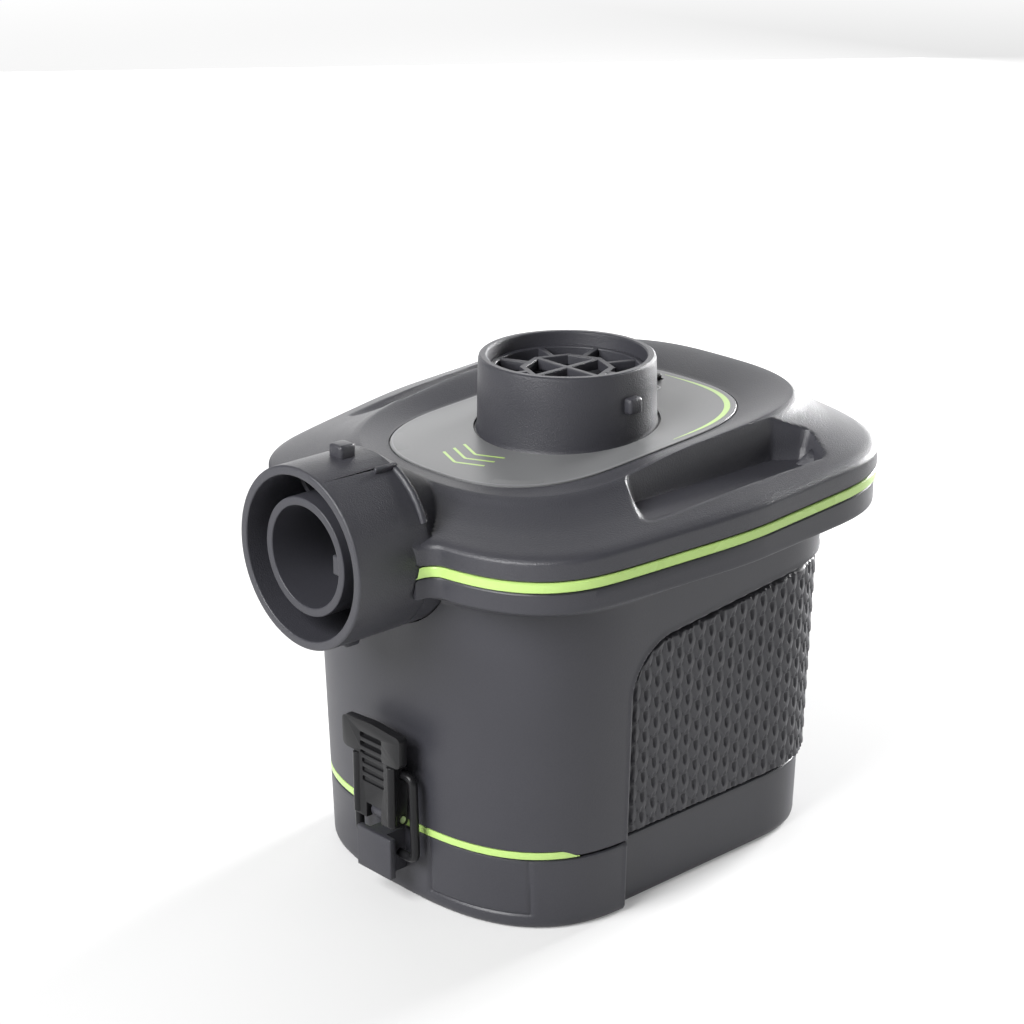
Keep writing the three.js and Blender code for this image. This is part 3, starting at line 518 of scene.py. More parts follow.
NICKEL = moulded("nickel", (0.72, 0.69, 0.62), 0.28, grain=0.3, depth=0.006, metallic=1.0)
COPPER = moulded("copper", (0.75, 0.33, 0.16), 0.36, grain=0.3, depth=0.01, metallic=1.0)
MAGNET = moulded("magnet", (0.045, 0.045, 0.047), 0.75, grain=0.3, depth=0.05)
CELL = moulded("cell_jacket", (0.12, 0.15, 0.17), 0.35, grain=0.6, depth=0.01)
WIRE_RED = moulded("wire_red", (0.42, 0.02, 0.015), 0.42, grain=0.4, depth=0.01)
WIRE_BLACK = moulded("wire_black", (0.012, 0.012, 0.012), 0.42, grain=0.4, depth=0.01)


# ----- top cover -----
DECK_SECTION = catmull(
    [(0, 0), (0.004, 0.028), (0.016, 0.07), (0.045, 0.125), (0.12, 0.2), (0.3, 0.32), (0.55, 0.5),
     (0.8, 0.75), (0.93, 0.93), (1, 1)], 9)
POCKET_FLOOR = 113.4
POCKET = [(47.5, -20.5), (57.5, -26.5), (60.5, 31.5), (53.0, 35.5), (48.5, 30.0)]
POCKET_ROUND = 3.0


def crest_height(y):
    return FLOOR_Z + 0.7 + 2.9 * smoothstep(y, -50.0, 5.0) - 0.9 * smoothstep(y, 30.0, 60.0)


def boss_height(x, y):
    """The cone that takes the outlet tube down into the deck."""
    radius = PORT_R - BOSS_TAPER * np.maximum(y - BOSS_FRONT, 0.0)
    return OUTLET_Z + np.sqrt(np.maximum(radius**2 - x**2, 0.0))


def with_features(ring):
    """Blends the outlet boss and the finger pockets into a ring of the deck's surface."""
    x, y, z = ring.T
    near_tube = (np.abs(x) < PORT_R) & (y < -40)
    z = np.where(near_tube, smooth_max(z, boss_height(x, y), 1.3), z)
    mirrored_points = stacked([np.abs(x), y])
    inside = distance_to(mirrored_points, POCKET, POCKET_ROUND)
    depth = smoothstep(-inside, -0.4, 2.1)
    floor = POCKET_FLOOR + 0.02 * np.maximum(np.abs(x) - 56.0, 0.0) ** 2
    z = z + depth * np.minimum(floor - z, 0.0)
    return stacked([x, y, z])


def deck_rings():
    """Rings from the cover's lower edge, up and over the deck, to the foot of the top port."""
    edge, crest, label = around_port(outline(DECK)), outline(CREST), outline(LABEL)
    high_crest = level(crest, crest_height(crest[:, 1]) + TILT * crest[:, 1])
    low = STRIPE_HIGH + GAP
    rings = [tilted(around_port(outline(DECK, -0.35)), low), tilted(edge, low + 0.35)]
    rings += [tilted(edge, z) for z in np.linspace(STRIPE_HIGH + 1.4, EDGE_TOP - 0.6, 5)]
    for inward, rise in DECK_SECTION:
        foot = around_port(outline(DECK), 1.0 - float(smoothstep(inward, 0.02, 0.2)))
        low_edge = tilted(foot, EDGE_TOP)
        ring = low_edge + (high_crest - low_edge) * inward
        ring[:, 2] = low_edge[:, 2] + (high_crest[:, 2] - low_edge[:, 2]) * rise
        rings.append(ring)
    low_label = tilted(label, FLOOR_Z)
    for share in np.linspace(0, 1, 15)[1:]:
        ring = high_crest + (low_label - high_crest) * share
        ring[:, 2] = high_crest[:, 2] + (low_label[:, 2] - high_crest[:, 2]) * share**1.3
        rings.append(ring)
    return [with_features(ring) for ring in soften_heights(rings, 8, len(rings) - 3)]


def soften_heights(rings, first, last, rounds=3):
    """Evens out the heights from ring to ring, which rounds the crest."""
    heights = np.array([ring[:, 2] for ring in rings])
    for _ in range(rounds):
        middle = heights[first:last]
        around = (heights[first - 1 : last - 1] + heights[first + 1 : last + 1]) / 2
        heights[first:last] = middle + 0.5 * (around - middle)
    return [stacked([ring[:, :2], z]) for ring, z in zip(rings, heights)]


def make_deck_shell():
    outer = deck_rings()
    label = outer[-1][:, :2]
    seat = outline(LABEL, -0.7)
    foot = circle_like(label, PORT_R + 1.6)
    rings = [*outer, tilted(seat, FLOOR_Z), tilted(seat, FLOOR_Z - 0.5)]
    for share in (0.3, 0.65, 1.0):
        rings.append(tilted(seat + (foot - seat) * share, FLOOR_Z - 0.5))
    for grow, rise in ((0.75, -0.3), (0.52, 0.2), (0.42, 0.9)):
        rings.append(tilted(circle_like(label, PORT_R + grow), FLOOR_Z + rise))
    wall = [(PORT_R + 0.25, 130.0), (PORT_R, 137.9), (PORT_R - 0.2, 138.65), (PORT_R - 0.7, TOP_PORT_RIM)]
    wall += [(BORE_R + 0.5, TOP_PORT_RIM), (BORE_R + 0.12, 138.7), (BORE_R, 138.2), (BORE_R, PORT_BASE)]
    wall += [(PORT_R + 0.6, PORT_BASE)]
    rings += [level(circle_like(label, r), z) for r, z in wall]
    rings.append(tilted(circle_like(label, PORT_R + 0.6), FLOOR_Z - 0.5 - WALL))
    rings.append(tilted(outline(LABEL, -1.0), FLOOR_Z - 0.5 - WALL))
    rings += [shrunk(ring, 0.96) - [0.0, 0.0, WALL] for ring in outer[-4:8:-6]]
    rings += [tilted(outline(DECK, -2.6), z) for z in (EDGE_TOP - 1.0, STRIPE_HIGH + GAP)]
    return sleeve("deck_shell", rings)


def make_outlet_tube():
    """The port's tube with its rounded rim and ring-shaped bore."""
    hole = DUCT_R + GAP
    outside = [(PORT_R, BOSS_FRONT), (PORT_R, OUTLET_FRONT), (BORE_R, OUTLET_FRONT), (BORE_R, BORE_BACK)]
    inside = [(hole, BORE_BACK), (hole, BOSS_FRONT + 0.7), (PORT_R - 1.2, BOSS_FRONT + 0.7)]
    profile = filleted(outside + inside, [0.4, 0.7, 0.5, 0.6, 0, 0, 0])
    return facing_outlet(turned("outlet_tube", profile[::-1], sides=160))


def make_lugs():
    """Bayonet lugs of both ports and the short rib beside the outlet's upper lug."""
    low, high = OUTLET_Z - PORT_R, OUTLET_Z + PORT_R
    lugs = [
        block("lug", (-2.6, 2.6), (-80.5, -75.5), (high - 1.0, high + 3.2)),
        block("lug", (-2.6, 2.6), (-80.5, -75.5), (low - 3.2, low + 1.0)),
        block("lug", (PORT_R - 1.0, PORT_R + 2.6), (-2.3, 2.3), (127.7, 132.2)),
        block("lug", (-PORT_R - 2.6, 1.0 - PORT_R), (-2.3, 2.3), (127.7, 132.2)),
    ]
    rib = block("rib", (-0.6, 0.6), (-76.6, -69.5), (high - 0.5, high + 1.4))
    return [beveled(lug, 0.9) for lug in lugs] + [beveled(spun(rib, 26, "Y", (0, 0, OUTLET_Z)), 0.4)]


def make_collars():
    """A low rounded ridge round each shoulder of the outlet tube, where it meets the deck."""
    collars = []
    for side in (-1, 1):
        turn = np.radians(np.linspace(24, 66, 30)) * side
        radius = PORT_R - 0.1 + 0.25 * np.sin(np.linspace(0, math.pi, 30))
        path = stacked([radius * np.sin(turn), np.full(30, -70.2), OUTLET_Z + radius * np.cos(turn)])
        collars.append(tube("collar", path, 1.0, 20))
    return collars


def make_bore_ribs():
    """Four thin webs between the outlet's outer wall and its inner tube."""
    size = (DUCT_R + GAP + 0.2, PORT_R - 1.0), (-80.0, BORE_BACK + 0.5), (OUTLET_Z - 0.7, OUTLET_Z + 0.7)
    return [spun(block("web", *size), turn, "Y", (0, 0, OUTLET_Z)) for turn in (45, 135, 225, 315)]


def on_deck(made):
    """Sets a piece that is built flat at the origin onto the sloping deck, at the switch."""
    spun(made, math.degrees(math.atan(TILT)), "X")
    return shifted(made, SWITCH_X, SWITCH_Y, FLOOR_Z + TILT * SWITCH_Y)


def switch_block(margin, low, high, name="opening"):
    """A block flat at the origin, larger than the rocker by that margin all round."""
    half, wide = ROCKER_LENGTH / 2 + margin, ROCKER_WIDTH / 2 + margin
    return block(name, (-half, half), (-wide, wide), (low, high))


def switch_opening(margin):
    return on_deck(switch_block(margin, -12.0, 12.0))


def make_top_cover():
    shell = make_deck_shell()
    low_back = facing_outlet(rod("low_back", PORT_R, BOSS_FRONT, -62.0, 144))
    below = block("below", (-30.0, 30.0), (-80.0, -50.0), (70.0, 106.0))
    combine(shell, [make_outlet_tube(), combine(low_back, below, "INTERSECT")])
    carve(shell, facing_outlet(rod("hole", DUCT_R + GAP, BORE_BACK - 3.0, DUCT_BACK + 0.3, 144)))
    carve(shell, block("neck_room", (-13.8, 13.8), (-62.3, -50.0), (80.0, VOLUTE_TOP + 4.3)))
    combine(shell, make_lugs() + make_collars() + make_bore_ribs())
    carve(shell, switch_opening(1.0))
    finished(shell, DECK_GRAIN, ["top_cover"], sharp=32)


# ----- label -----
def ribbon(name, path, widths, lift):
    """A flat line on the label, along a plan path, as wide as the widths say: print, and the pale painted
    highlight along the label's rim.
    """
    path = np.asarray(path, float)
    across = sideways(path)
    half = np.broadcast_to(np.asarray(widths, float) / 2, len(path))[:, None]
    sides = [tilted(path - across * half, FLOOR_Z + lift), tilted(path + across * half, FLOOR_Z + lift)]
    return mesh_object(name, np.concatenate(sides), grid_faces(2, len(path), close_columns=False))


def make_label():
    label = outline(LABEL, -1.1)
    hole = circle_like(label, PORT_R + 1.4)
    rings = [tilted(label, FLOOR_Z - 0.2), tilted(label, FLOOR_Z + 0.12)]
    rings.append(tilted(outline(LABEL, -1.25), FLOOR_Z + 0.25))
    rings += [tilted(label + (hole - label) * share, FLOOR_Z + 0.25) for share in (0.2, 0.5, 0.97)]
    rings += [tilted(hole, FLOOR_Z + 0.15), tilted(hole, FLOOR_Z - 0.2)]
    plate = sleeve("label_plate", rings)
    carve(plate, switch_opening(2.6))
    finished(plate, LABEL_GREY, ["top_label"])

    # The pale line along the label's rim is a painted highlight: it stands in for the light caught by the
    # label's rounded edge.
    rim_path = outline(LABEL, -1.7)
    edge = ribbon("painted_rim_highlight", np.vstack([rim_path, rim_path[:1]]), 0.45, RIM_HIGHLIGHT_LIFT)
    finished(edge, RIM_HIGHLIGHT_PAINT)


def make_green_line():
    """The tapering green line round the label's right and back edge."""
    path = outline(LABEL, -3.4)
    back, side = path[: BACK_STEPS + 1], path[-SIDE_STEPS:]
    line = np.vstack([side[side[:, 1] > 8], back[back[:, 0] > -6]])
    share = np.linspace(0, 1, len(line))
    width = 0.15 + 1.5 * np.abs(np.sin(math.pi * share)) ** 1.2
    finished(ribbon("label_green_line", line, width, PRINT_LIFT), GREEN)


def make_marks():
    """Plain marks: a ring and a bar beside the switch, and three chevrons before the port."""
    ring = circle(np.linspace(0, 2 * math.pi, 49), 1.9, (-0.6, SWITCH_Y))
    bar = stacked([np.full(9, -24.5), np.linspace(-2.0, 2.0, 9) + SWITCH_Y])
    for name, path in (("mark_off", ring), ("mark_on", bar)):
        finished(ribbon(name, path, PRINT_LINE, PRINT_LIFT), PRINT_PALE)
    for index, y in enumerate((-30.2, -33.8, -37.4)):
        chevron = [(-8.0, y), (0.0, y - 3.2), (8.0, y)]
        stroke = ribbon(f"mark_arrow_{index + 1}", filleted(chevron, 0.6, closed=False), 0.8, PRINT_LIFT)
        finished(stroke, GREEN)


# ----- housing -----
# the underside of the lip, from the wall outwards: share of the way out, then share of the way up
FLARE = catmull(
    [(0, 0), (0.03, 0.07), (0.1, 0.2), (0.25, 0.37), (0.43, 0.46), (0.56, 0.49), (0.605, 0.51), (0.62, 0.56),
     (0.625, 0.7), (0.64, 0.75), (0.73, 0.78), (0.91, 0.8), (0.98, 0.825), (1, 0.88), (1, 1)], 5)


def recess_edge_distance(y, z):
    """Distance inside the recess's outline seen from the side, negative outside it."""
    top = RECESS_TOP + RECESS_RISE * y
    from_front, from_top = y - RECESS_Y, top - z
    straight = np.minimum(from_front, from_top)
    corner = RECESS_CORNER * 0.8
    rounded = corner - np.hypot(np.maximum(corner - from_front, 0), np.maximum(corner - from_top, 0))
    in_corner = (from_front < corner) & (from_top < corner)
    return np.where(in_corner, rounded, straight)


def wall_ring(z, inset=0.0, sharpness=0.45):
    """The body wall at one height, stepped in at the side recesses, whose edges carry a fine bead."""
    grow = body_grow(z) - inset
    outer, inner = outline(BODY, grow), outline(RECESS, grow)
    inward = recess_edge_distance(outer[:, 1] - inset * 0.3, np.full(len(outer), z))
    on_side = smoothstep(np.abs(outer[:, 0]), 18.0, 30.0)
    depth = smoothstep(inward, -sharpness, sharpness) * on_side
    if inset < 0.1:
        bead = BEAD * np.exp(-(((inward + 0.85) / 0.5) ** 2)) * on_side
        outer = outer + (outline(BODY, grow + 1.0) - outer) * bead[:, None]
    return level(outer + (inner - outer) * depth[:, None], z)


def housing_rings():
    """Rings up the body wall, out along the flare under the lip, and back down the inside."""
    rings = [wall_ring(HOUSING_BASE + 0.35, inset=0.25), wall_ring(HOUSING_BASE + 0.7)]
    rings += [wall_ring(z) for z in np.linspace(HOUSING_BASE + 1.2, WALL_TOP, 136)]
    wall = rings[-1]
    for out, up in FLARE[1:]:
        lip = tilted(around_port(outline(DECK, -0.6), out**3), LIP_BASE)
        ring = wall + (lip - wall) * out
        ring[:, 2] = wall[:, 2] + (lip[:, 2] - wall[:, 2]) * up
        rings.append(ring)
    top = STRIPE_LOW - GAP
    for inset, z in ((0.6, LIP_BASE + 1.5), (0.6, top - 0.5), (0.85, top - 0.1), (1.3, top)):
        rings.append(tilted(around_port(outline(DECK, -inset)), z))
    rings += [tilted(outline(DECK, -3.4), z) for z in (top, 103.2)]
    rings += [wall_ring(z, inset=WALL) for z in (92.5, 80.0, 74.0, 60.0, 40.0, HOUSING_BASE + 0.35)]
    return rings


def stripe_top(y):
    """Upper edge of the lower stripe, which falls to a point at each side recess."""
    return HOUSING_BASE + 0.3 + (22.7 - HOUSING_BASE) * (0.02 + 0.98 * smoothstep(-y, 40.8, 45.5))


def stripe_room(clear):
    """The rebate in the housing's bottom edge for the lower stripe."""
    inner, outer = outline(BODY, STRIPE_GROW - 1.1 - clear), outline(BODY, 6.0)
    low, high = 12.0, stripe_top(inner[:, 1]) + clear
    rings = [level(inner, low), level(outer, low), level(outer, high), level(inner, high)]
    room = sleeve("stripe_room", rings)
    return combine(room, block("front", (-60, 60), (-80, -41.0 + clear), (5, 40)), "INTERSECT")


def eye(name, radius, centre, web, low, high):
    """A round lug about a line along X, with a web that ties it to the wall."""
    ring = circle(even_turn(40), radius, centre)
    return combine(prism(name, ring, low, high, "YZ"), prism("web", web, low, high, "YZ"))


def make_hinge_knuckles():
    """The housing's two hinge knuckles, with their webs up to the wall."""
    made = []
    for low, high in ((9.4, 17.0), (-17.0, -9.4)):
        web = [(60.0, 21.15), (HINGE_Y, 21.15), (HINGE_Y, HINGE_Z + HINGE_R - 0.05), (60.0, 26.5)]
        made.append(eye("knuckle", HINGE_R, (HINGE_Y, HINGE_Z), web, low, high))
    return made


def cross_hole(radius, half, y, z):
    """The room for a pin along X."""
    return shifted(spun(rod("hole", radius, -half, half, 24), 90, "Y"), 0, y, z)


def make_latch_lug():
    """The lug that stands out through the lever's window and carries its pin."""
    low, high = LEVER_Z - LUG_R, LEVER_Z + LUG_R
    web = [(LEVER_Y, low), (-61.6, low), (-61.6, high), (LEVER_Y, high)]
    return eye("lug", LUG_R, (LEVER_Y, LEVER_Z), web, -LUG_X, LUG_X)


def make_housing():
    shell = sleeve("housing_shell", housing_rings())
    room = facing_outlet(rod("room", PORT_R + GAP, -100.0, -60.0))
    above = block("above", (-PORT_R - GAP, PORT_R + GAP), (-100.0, -60.0), (OUTLET_Z, 130.0))
    carve(shell, stripe_room(GAP))
    combine(shell, make_hinge_knuckles() + [make_latch_lug()])
    carve(shell, [room, above])
    carve(shell, cross_hole(PIN_HOLE_R, 20.0, HINGE_Y, HINGE_Z))
    carve(shell, cross_hole(PIN_HOLE_R, 9.0, LEVER_Y, LEVER_Z))
    finished(shell, SHELL, ["lower_housing"], sharp=32)


# ----- battery cover -----
PANEL_X, PANEL_Z = (12.5, 41.0), (4.4, 30.0)


def panel_depth(ring, z):
    """How far the blank panel at the front right corner lies below the surface at each point."""
    x, y = ring.T
    beside = np.minimum(x - PANEL_X[0], PANEL_X[1] - x)
    inside = np.minimum(beside, min(z - PANEL_Z[0], PANEL_Z[1] - z))
    step = 0.3 * smoothstep(inside, -0.2, 0.2) + 0.35 * np.exp(-((inside / 0.4) ** 2))
    return np.where(y < 0, step, 0.0)


def cover_ring(z, inset=0.0):
    ring = wall_ring(z, inset)
    if inset < 1.0:
        normal = ring[:, :2] - [0.0, -10.0]
        normal /= np.linalg.norm(normal, axis=1)[:, None]
        ring[:, :2] -= normal * panel_depth(ring[:, :2], z)[:, None]
    return ring


def make_battery_cover():
    rings = [shrunk(wall_ring(0.0, inset=3.0), share) for share in (0.3, 0.7, 1.0)]
    rings += [wall_ring(z, inset=step) for z, step in ((0.0, 2.0), (0.18, 1.25), (0.6, 0.7), (1.2, 0.28))]
    rings += [wall_ring(2.0, inset=0.05)]
    rings += [cover_ring(z) for z in np.linspace(2.6, COVER_TOP - 0.9, 48)]
    rings += [cover_ring(COVER_TOP - 0.35, inset=0.12), cover_ring(COVER_TOP, inset=0.5)]
    rings += [wall_ring(z, inset=WALL) for z in (COVER_TOP, 14.0, 8.0, WALL)]
    rings += [shrunk(wall_ring(WALL, inset=WALL), share) for share in (0.9, 0.6, 0.3)]
    shell = outward(capped("cover_shell", rings))
    plate = beveled(block("plate", (-6.9, 6.9), (-70.8, -68.8), (8.3, 20.2)), 0.35)
    core = block("core", (-3.4, 3.4), (-69.5, -60.5), (8.3, 20.2))
    web = [(60.2, 15.5), (HINGE_Y, HINGE_Z - HINGE_R + 0.05), (HINGE_Y, HINGE_Z - 0.4), (60.2, HINGE_Z - 0.4)]
    combine(shell, [plate, core, eye("knuckle", HINGE_R, (HINGE_Y, HINGE_Z), web, -9.0, 9.0)])
    carve(shell, cross_hole(KNUCKLE_HOLE_R, 12.0, HINGE_Y, HINGE_Z))
    carve(shell, block("clear", (-12.0, 12.0), (55.0, 62.9), (HINGE_Z - 0.2, 30.0)))
    finished(shell, SHELL, ["battery_cover"], sharp=32, body="cover")


# ----- accent stripes -----
def make_upper_stripe():
    """The stripe round the deck's edge; its front ends turn forward along the outlet port."""
    section = [(-0.35, STRIPE_LOW), (0.0, STRIPE_LOW + 0.3), (0.05, (STRIPE_LOW + STRIPE_HIGH) / 2)]
    section += [(0.0, STRIPE_HIGH - 0.3), (-0.35, STRIPE_HIGH), (-2.2, STRIPE_HIGH), (-2.2, STRIPE_LOW)]
    stripe = sleeve("stripe_upper", [tilted(around_port(outline(DECK, grow)), z) for grow, z in section])
    carve(stripe, facing_outlet(rod("port", PORT_R + GAP, -100.0, -60.0)))
    carve(stripe, block("opening", (-22.6, 22.6), (-80, -40), (90, 120)))
    finished(stripe, GREEN, ["upper_accent_stripe"])


def make_lower_stripe():
    """The stripe between cover and housing, which runs out to a point at each side recess."""
    low = HOUSING_BASE + 0.2
    rings = []
    for height, out in ((0, 0), (0.12, 0.03), (0.5, 0.05), (0.88, 0.03), (1, 0), (1, -1.1), (0, -1.1)):
        plan = outline(BODY, STRIPE_GROW + out - 0.03)
        rings.append(level(plan, low + (stripe_top(plan[:, 1]) - low) * height))
    stripe = sleeve("stripe_lower", rings)
    combine(stripe, block("front", (-60, 60), (-80, -41), (15, 30)), "INTERSECT")
    finished(stripe, GREEN, ["lower_accent_stripe"])


# ----- intake grille -----
def make_grille():
    """A rim with eight outer spokes, an octagon and a cross of four inner spokes."""
    outer, low, high = BORE_R - GAP, GRILLE_LOW, GRILLE_HIGH
    section = [(outer, low - 2), (outer, high), (outer - 1.6, high), (outer - 1.6, low - 2)]
    rim = turned("grille", filleted(section, [0.3, 0.3, 0.4, 0.3]))
    section = [(12.9, low), (12.9, high), (11.1, high), (11.1, low)]
    parts = [turned("octagon", filleted(section, 0.35), sides=8)]
    for count, first, span in ((8, 22.5, (11.4, outer - 0.8)), (4, 0, (-0.4, 11.8))):
        for index in range(count):
            spoke = beveled(block("spoke", span, (-0.85, 0.85), (low, high)), 0.35)
            parts.append(spun(spoke, 360 / count * index + first))
    combine(rim, parts)
    finished(rim, DECK_GRAIN, ["intake_grille"], sharp=32)


# ----- side grips -----
SCALE_WIDTH, SCALE_PITCH, SCALE_RISE = 8.0, 5.9, 1.0
PIT_DEPTH = 0.9
GRIP_ROWS, GRIP_STEP = 230, 0.25


def scale_relief(along, z):
    """Staggered leaf-shaped scales, proud at the pointed lower tip, with a tall pit at the top."""
    found = np.zeros_like(along)
    pits = np.zeros_like(along)
    column = np.floor(along / (SCALE_WIDTH / 2) + 0.5)
    for side in (-1, 0, 1):
        k = column + side
        across = np.abs(along - k * SCALE_WIDTH / 2) / (SCALE_WIDTH / 2)
        for step in (0.0, 1.0):
            up = (z / SCALE_PITCH + 0.5 * (k % 2)) % 1.0 + step
            share = up / 1.25
            half = 0.62 * np.sqrt(np.clip(share * 1.9, 0, 1)) * np.sqrt(np.clip(1.06 - share**6, 0, 1))
            crown = np.sqrt(np.clip(1 - (across / np.maximum(half, 1e-3)) ** 2, 0, 1))
            on = (share < 1) & (across < half)
            lean = 1.0 - 0.62 * share
            found = np.maximum(found, np.where(on, lean * (0.15 + 0.85 * crown), 0))
            reach = np.hypot(across / 0.2, (up - 0.95) / 0.42)
            pits = np.maximum(pits, np.clip(1 - reach**2, 0, 1))
    return found * SCALE_RISE - pits * PIT_DEPTH


def grip_path():
    """Plan points along a grip's skin, with the distance along it."""
    skin = outline(RECESS)
    points = np.vstack([skin[BACK_STEPS + SIDE_STEPS + FRONT_STEPS // 2 :], skin[: BACK_STEPS // 2]])
    keep = (points[:, 1] > RECESS_Y + 1.5) & (points[:, 0] > 30.0) & (points[:, 1] < 60.4)
    points = points[keep]
    length = np.concatenate([[0], np.cumsum(np.linalg.norm(np.diff(points, axis=0), axis=1))])
    along = np.linspace(0, length[-1], int(length[-1] / GRIP_STEP))
    found = stacked([np.interp(along, length, points[:, 0]), np.interp(along, length, points[:, 1])])
    return found, along


def grip_top(y):
    """Height of the grip's upper edge, which keeps an even distance from the recess's edge."""
    straight = RECESS_TOP - 1.6 + RECESS_RISE * y
    corner = RECESS_CORNER * 0.8 - 1.5
    inward = np.clip(corner - (y - RECESS_Y - 1.5), 0, corner)
    return straight - corner + np.sqrt(corner**2 - inward**2)


def make_grip(name):
    plan, along = grip_path()
    low = HOUSING_BASE + 0.9
    normal = -sideways(plan)
    top = grip_top(plan[:, 1])
    rings = []
    shares = np.concatenate([[0.0], np.linspace(0, 1, GRIP_ROWS), [1.0]])
    for index, share in enumerate(shares):
        z = low + (top - low) * share
        from_edge = np.minimum(np.minimum(z - low, top - z), np.minimum(along, along[-1] - along))
        raised = smoothstep(from_edge, 0.0, 0.5)
        out = 0.6 + 0.3 * raised + scale_relief(along, z) * smoothstep(from_edge, 0.0, 0.6)
        if index in (0, len(shares) - 1):
            out = np.full(len(along), 0.1)
        skin = plan + normal * (body_grow(z) + out)[:, None]
        rings.append(stacked([skin, z]))
    return mesh_object(name, np.concatenate(rings), grid_faces(len(rings), len(plan), close_columns=False))


def make_grips():
    right = make_grip("grip_right")
    for side, grip in (("right", right), ("left", mirrored(right, "grip_left"))):
        finished(grip, RUBBER, [f"side_grip_{side}"], sharp=60)


# ----- fan casing and the outlet's inner tube -----
def scroll(grow):
    """The spiral outline of the fan chamber, widest where the air leaves."""
    share = np.arange(120) / 120
    return circle(2 * math.pi * share - math.pi / 2, 31 + 11 * share + grow)


def make_volute_casing():
    """The spiral casing, its neck, and the tube to the outlet with a small tab inside its mouth."""
    front = OUTLET_FRONT + 1.9
    bore = DUCT_R - DUCT_WALL
    profile = [(DUCT_R, DUCT_BACK), (DUCT_R, front), (bore, front), (bore, DUCT_BACK)]
    profile = filleted(profile, [0, 0.4, 0.4, 0])
    casing = prism("fan_casing", scroll(VOLUTE_WALL), VOLUTE_BASE, VOLUTE_TOP, "XY")
    combine(casing, block("neck", (-13.5, 13.5), (-61.9, -25.0), (VOLUTE_BASE, VOLUTE_TOP + 4)))
    combine(casing, facing_outlet(turned("tube", profile[::-1], sides=144)))
    floor = VOLUTE_BASE + VOLUTE_WALL
    carve(casing, prism("room", scroll(0.0), floor, VOLUTE_TOP + 10, "XY"))
    carve(casing, block("throat", (-11.7, 11.7), (-64.0, -20.0), (floor, VOLUTE_TOP + 2.2)))
    carve(casing, facing_outlet(rod("bore", bore, OUTLET_FRONT - 2, DUCT_BACK + 1, 144)))
    carve(casing, prism("open_top", scroll(0.3), VOLUTE_TOP, VOLUTE_TOP + 10, "XY"))
    tab = block("tab", (8.8, 14.0), (-89.0, -86.5), (OUTLET_Z - 2.6, OUTLET_Z + 2.6))
    combine(casing, beveled(tab, 0.4))
    carve(casing, rod("shaft_hole", 4.2, 80.0, 100.0, 48))
    finished(casing, SHELL, ["volute_casing"], sharp=32)


# ----- latch -----
PLATE_FRONT, PLATE_BACK, LEVER_FOOT = -71.0, -68.4, 23.6


def make_lever():
    """The latch lever: a plate with rounded lobes, a beaded shank, two flanges and six grooves."""
    plate = [(11.8, 51.2), (0, 52), (-11.8, 51.2), (-11.6, 43.2), (-10.4, 42.3), (10.4, 42.3), (11.6, 43.2)]
    head = prism("lever_piece", filleted(plate, 1.6), PLATE_FRONT, PLATE_BACK, "XZ")
    shank = [(-7.8, LEVER_FOOT), (7.8, LEVER_FOOT), (7.8, 43.0), (-7.8, 43.0)]
    combine(head, prism("shank", filleted(shank, [0.8, 0.8, 0, 0]), -70.4, PLATE_BACK, "XZ"))
    for side in (-1, 1):
        combine(head, shifted(rod("bead", 1.3, 24.2, 41.6, 32, soften=0.8), 6.9 * side, -69.9))
    flange = [(-69.8, LEVER_FOOT), (-65.0, LEVER_FOOT), (-65.0, 40.0), (-67.0, 42.0), (-69.8, 42.0)]
    for low, high in ((6.0, 7.8), (-7.8, -6.0)):
        combine(head, prism("flange", filleted(flange, [0, 1.8, 1.5, 1, 0]), low, high, "YZ"))
    for index in range(6):
        low = 34.0 + 2.6 * index
        groove = filleted([(-4.4, low), (4.4, low), (4.4, low + 1.5), (-4.4, low + 1.5)], 0.5)
        carve(head, prism("groove", groove, -72.0, -69.8, "XZ"))
    carve(head, block("window", (-3.0, 3.0), (-75.0, -60.0), (20.0, 28.0)))
    carve(head, cross_hole(PIN_HOLE_R, 9.0, LEVER_Y, LEVER_Z))
    carve(head, cross_hole(ROD_R + GAP, 9.0, BAIL_Y, BAIL_Z))
    beveled(head, 0.22, segments=2)
    finished(head, BLACK, ["latch_lever"], body="lever")


def make_bail():
    left = [(-5.0, FOOT_Y, FOOT_Z), (-BAIL_X, FOOT_Y, FOOT_Z), (-BAIL_X, BAIL_Y, BAIL_Z)]
    right = [(-x, y, z) for x, y, z in reversed(left)]
    bail = tube("bail_wire", filleted(left + right, 2.6, closed=False, steps=8), ROD_R, 20)
    finished(bail, BLACK, ["latch_bail"], sharp=60, body="bail")


# ----- switch -----
def make_bezel():
    bezel = beveled(switch_block(2.2, 0.3, 1.9, "switch_frame"), 0.5)
    combine(bezel, switch_block(0.7, -4.5, 1.0))
    carve(bezel, switch_block(0.0, -10.0, 10.0))
    finished(on_deck(bezel), BLACK, ["switch_bezel"])


def make_rocker():
    half, wide = ROCKER_LENGTH / 2 - 0.6, ROCKER_WIDTH / 2 - 0.4
    top = catmull([(half, 2.2), (half - 3.5, 2.3), (0.0, 1.75), (-half + 3.5, 3.2), (-half, 5.0)], 6)
    shape = np.vstack([[(-half, -1.6), (0.0, -2.2), (half, -1.6)], top])
    rocker = beveled(prism("rocker_key", shape, -wide, wide, "XZ"), 0.35)
    finished(on_deck(rocker), BLACK, ["switch_rocker"], body="rocker")


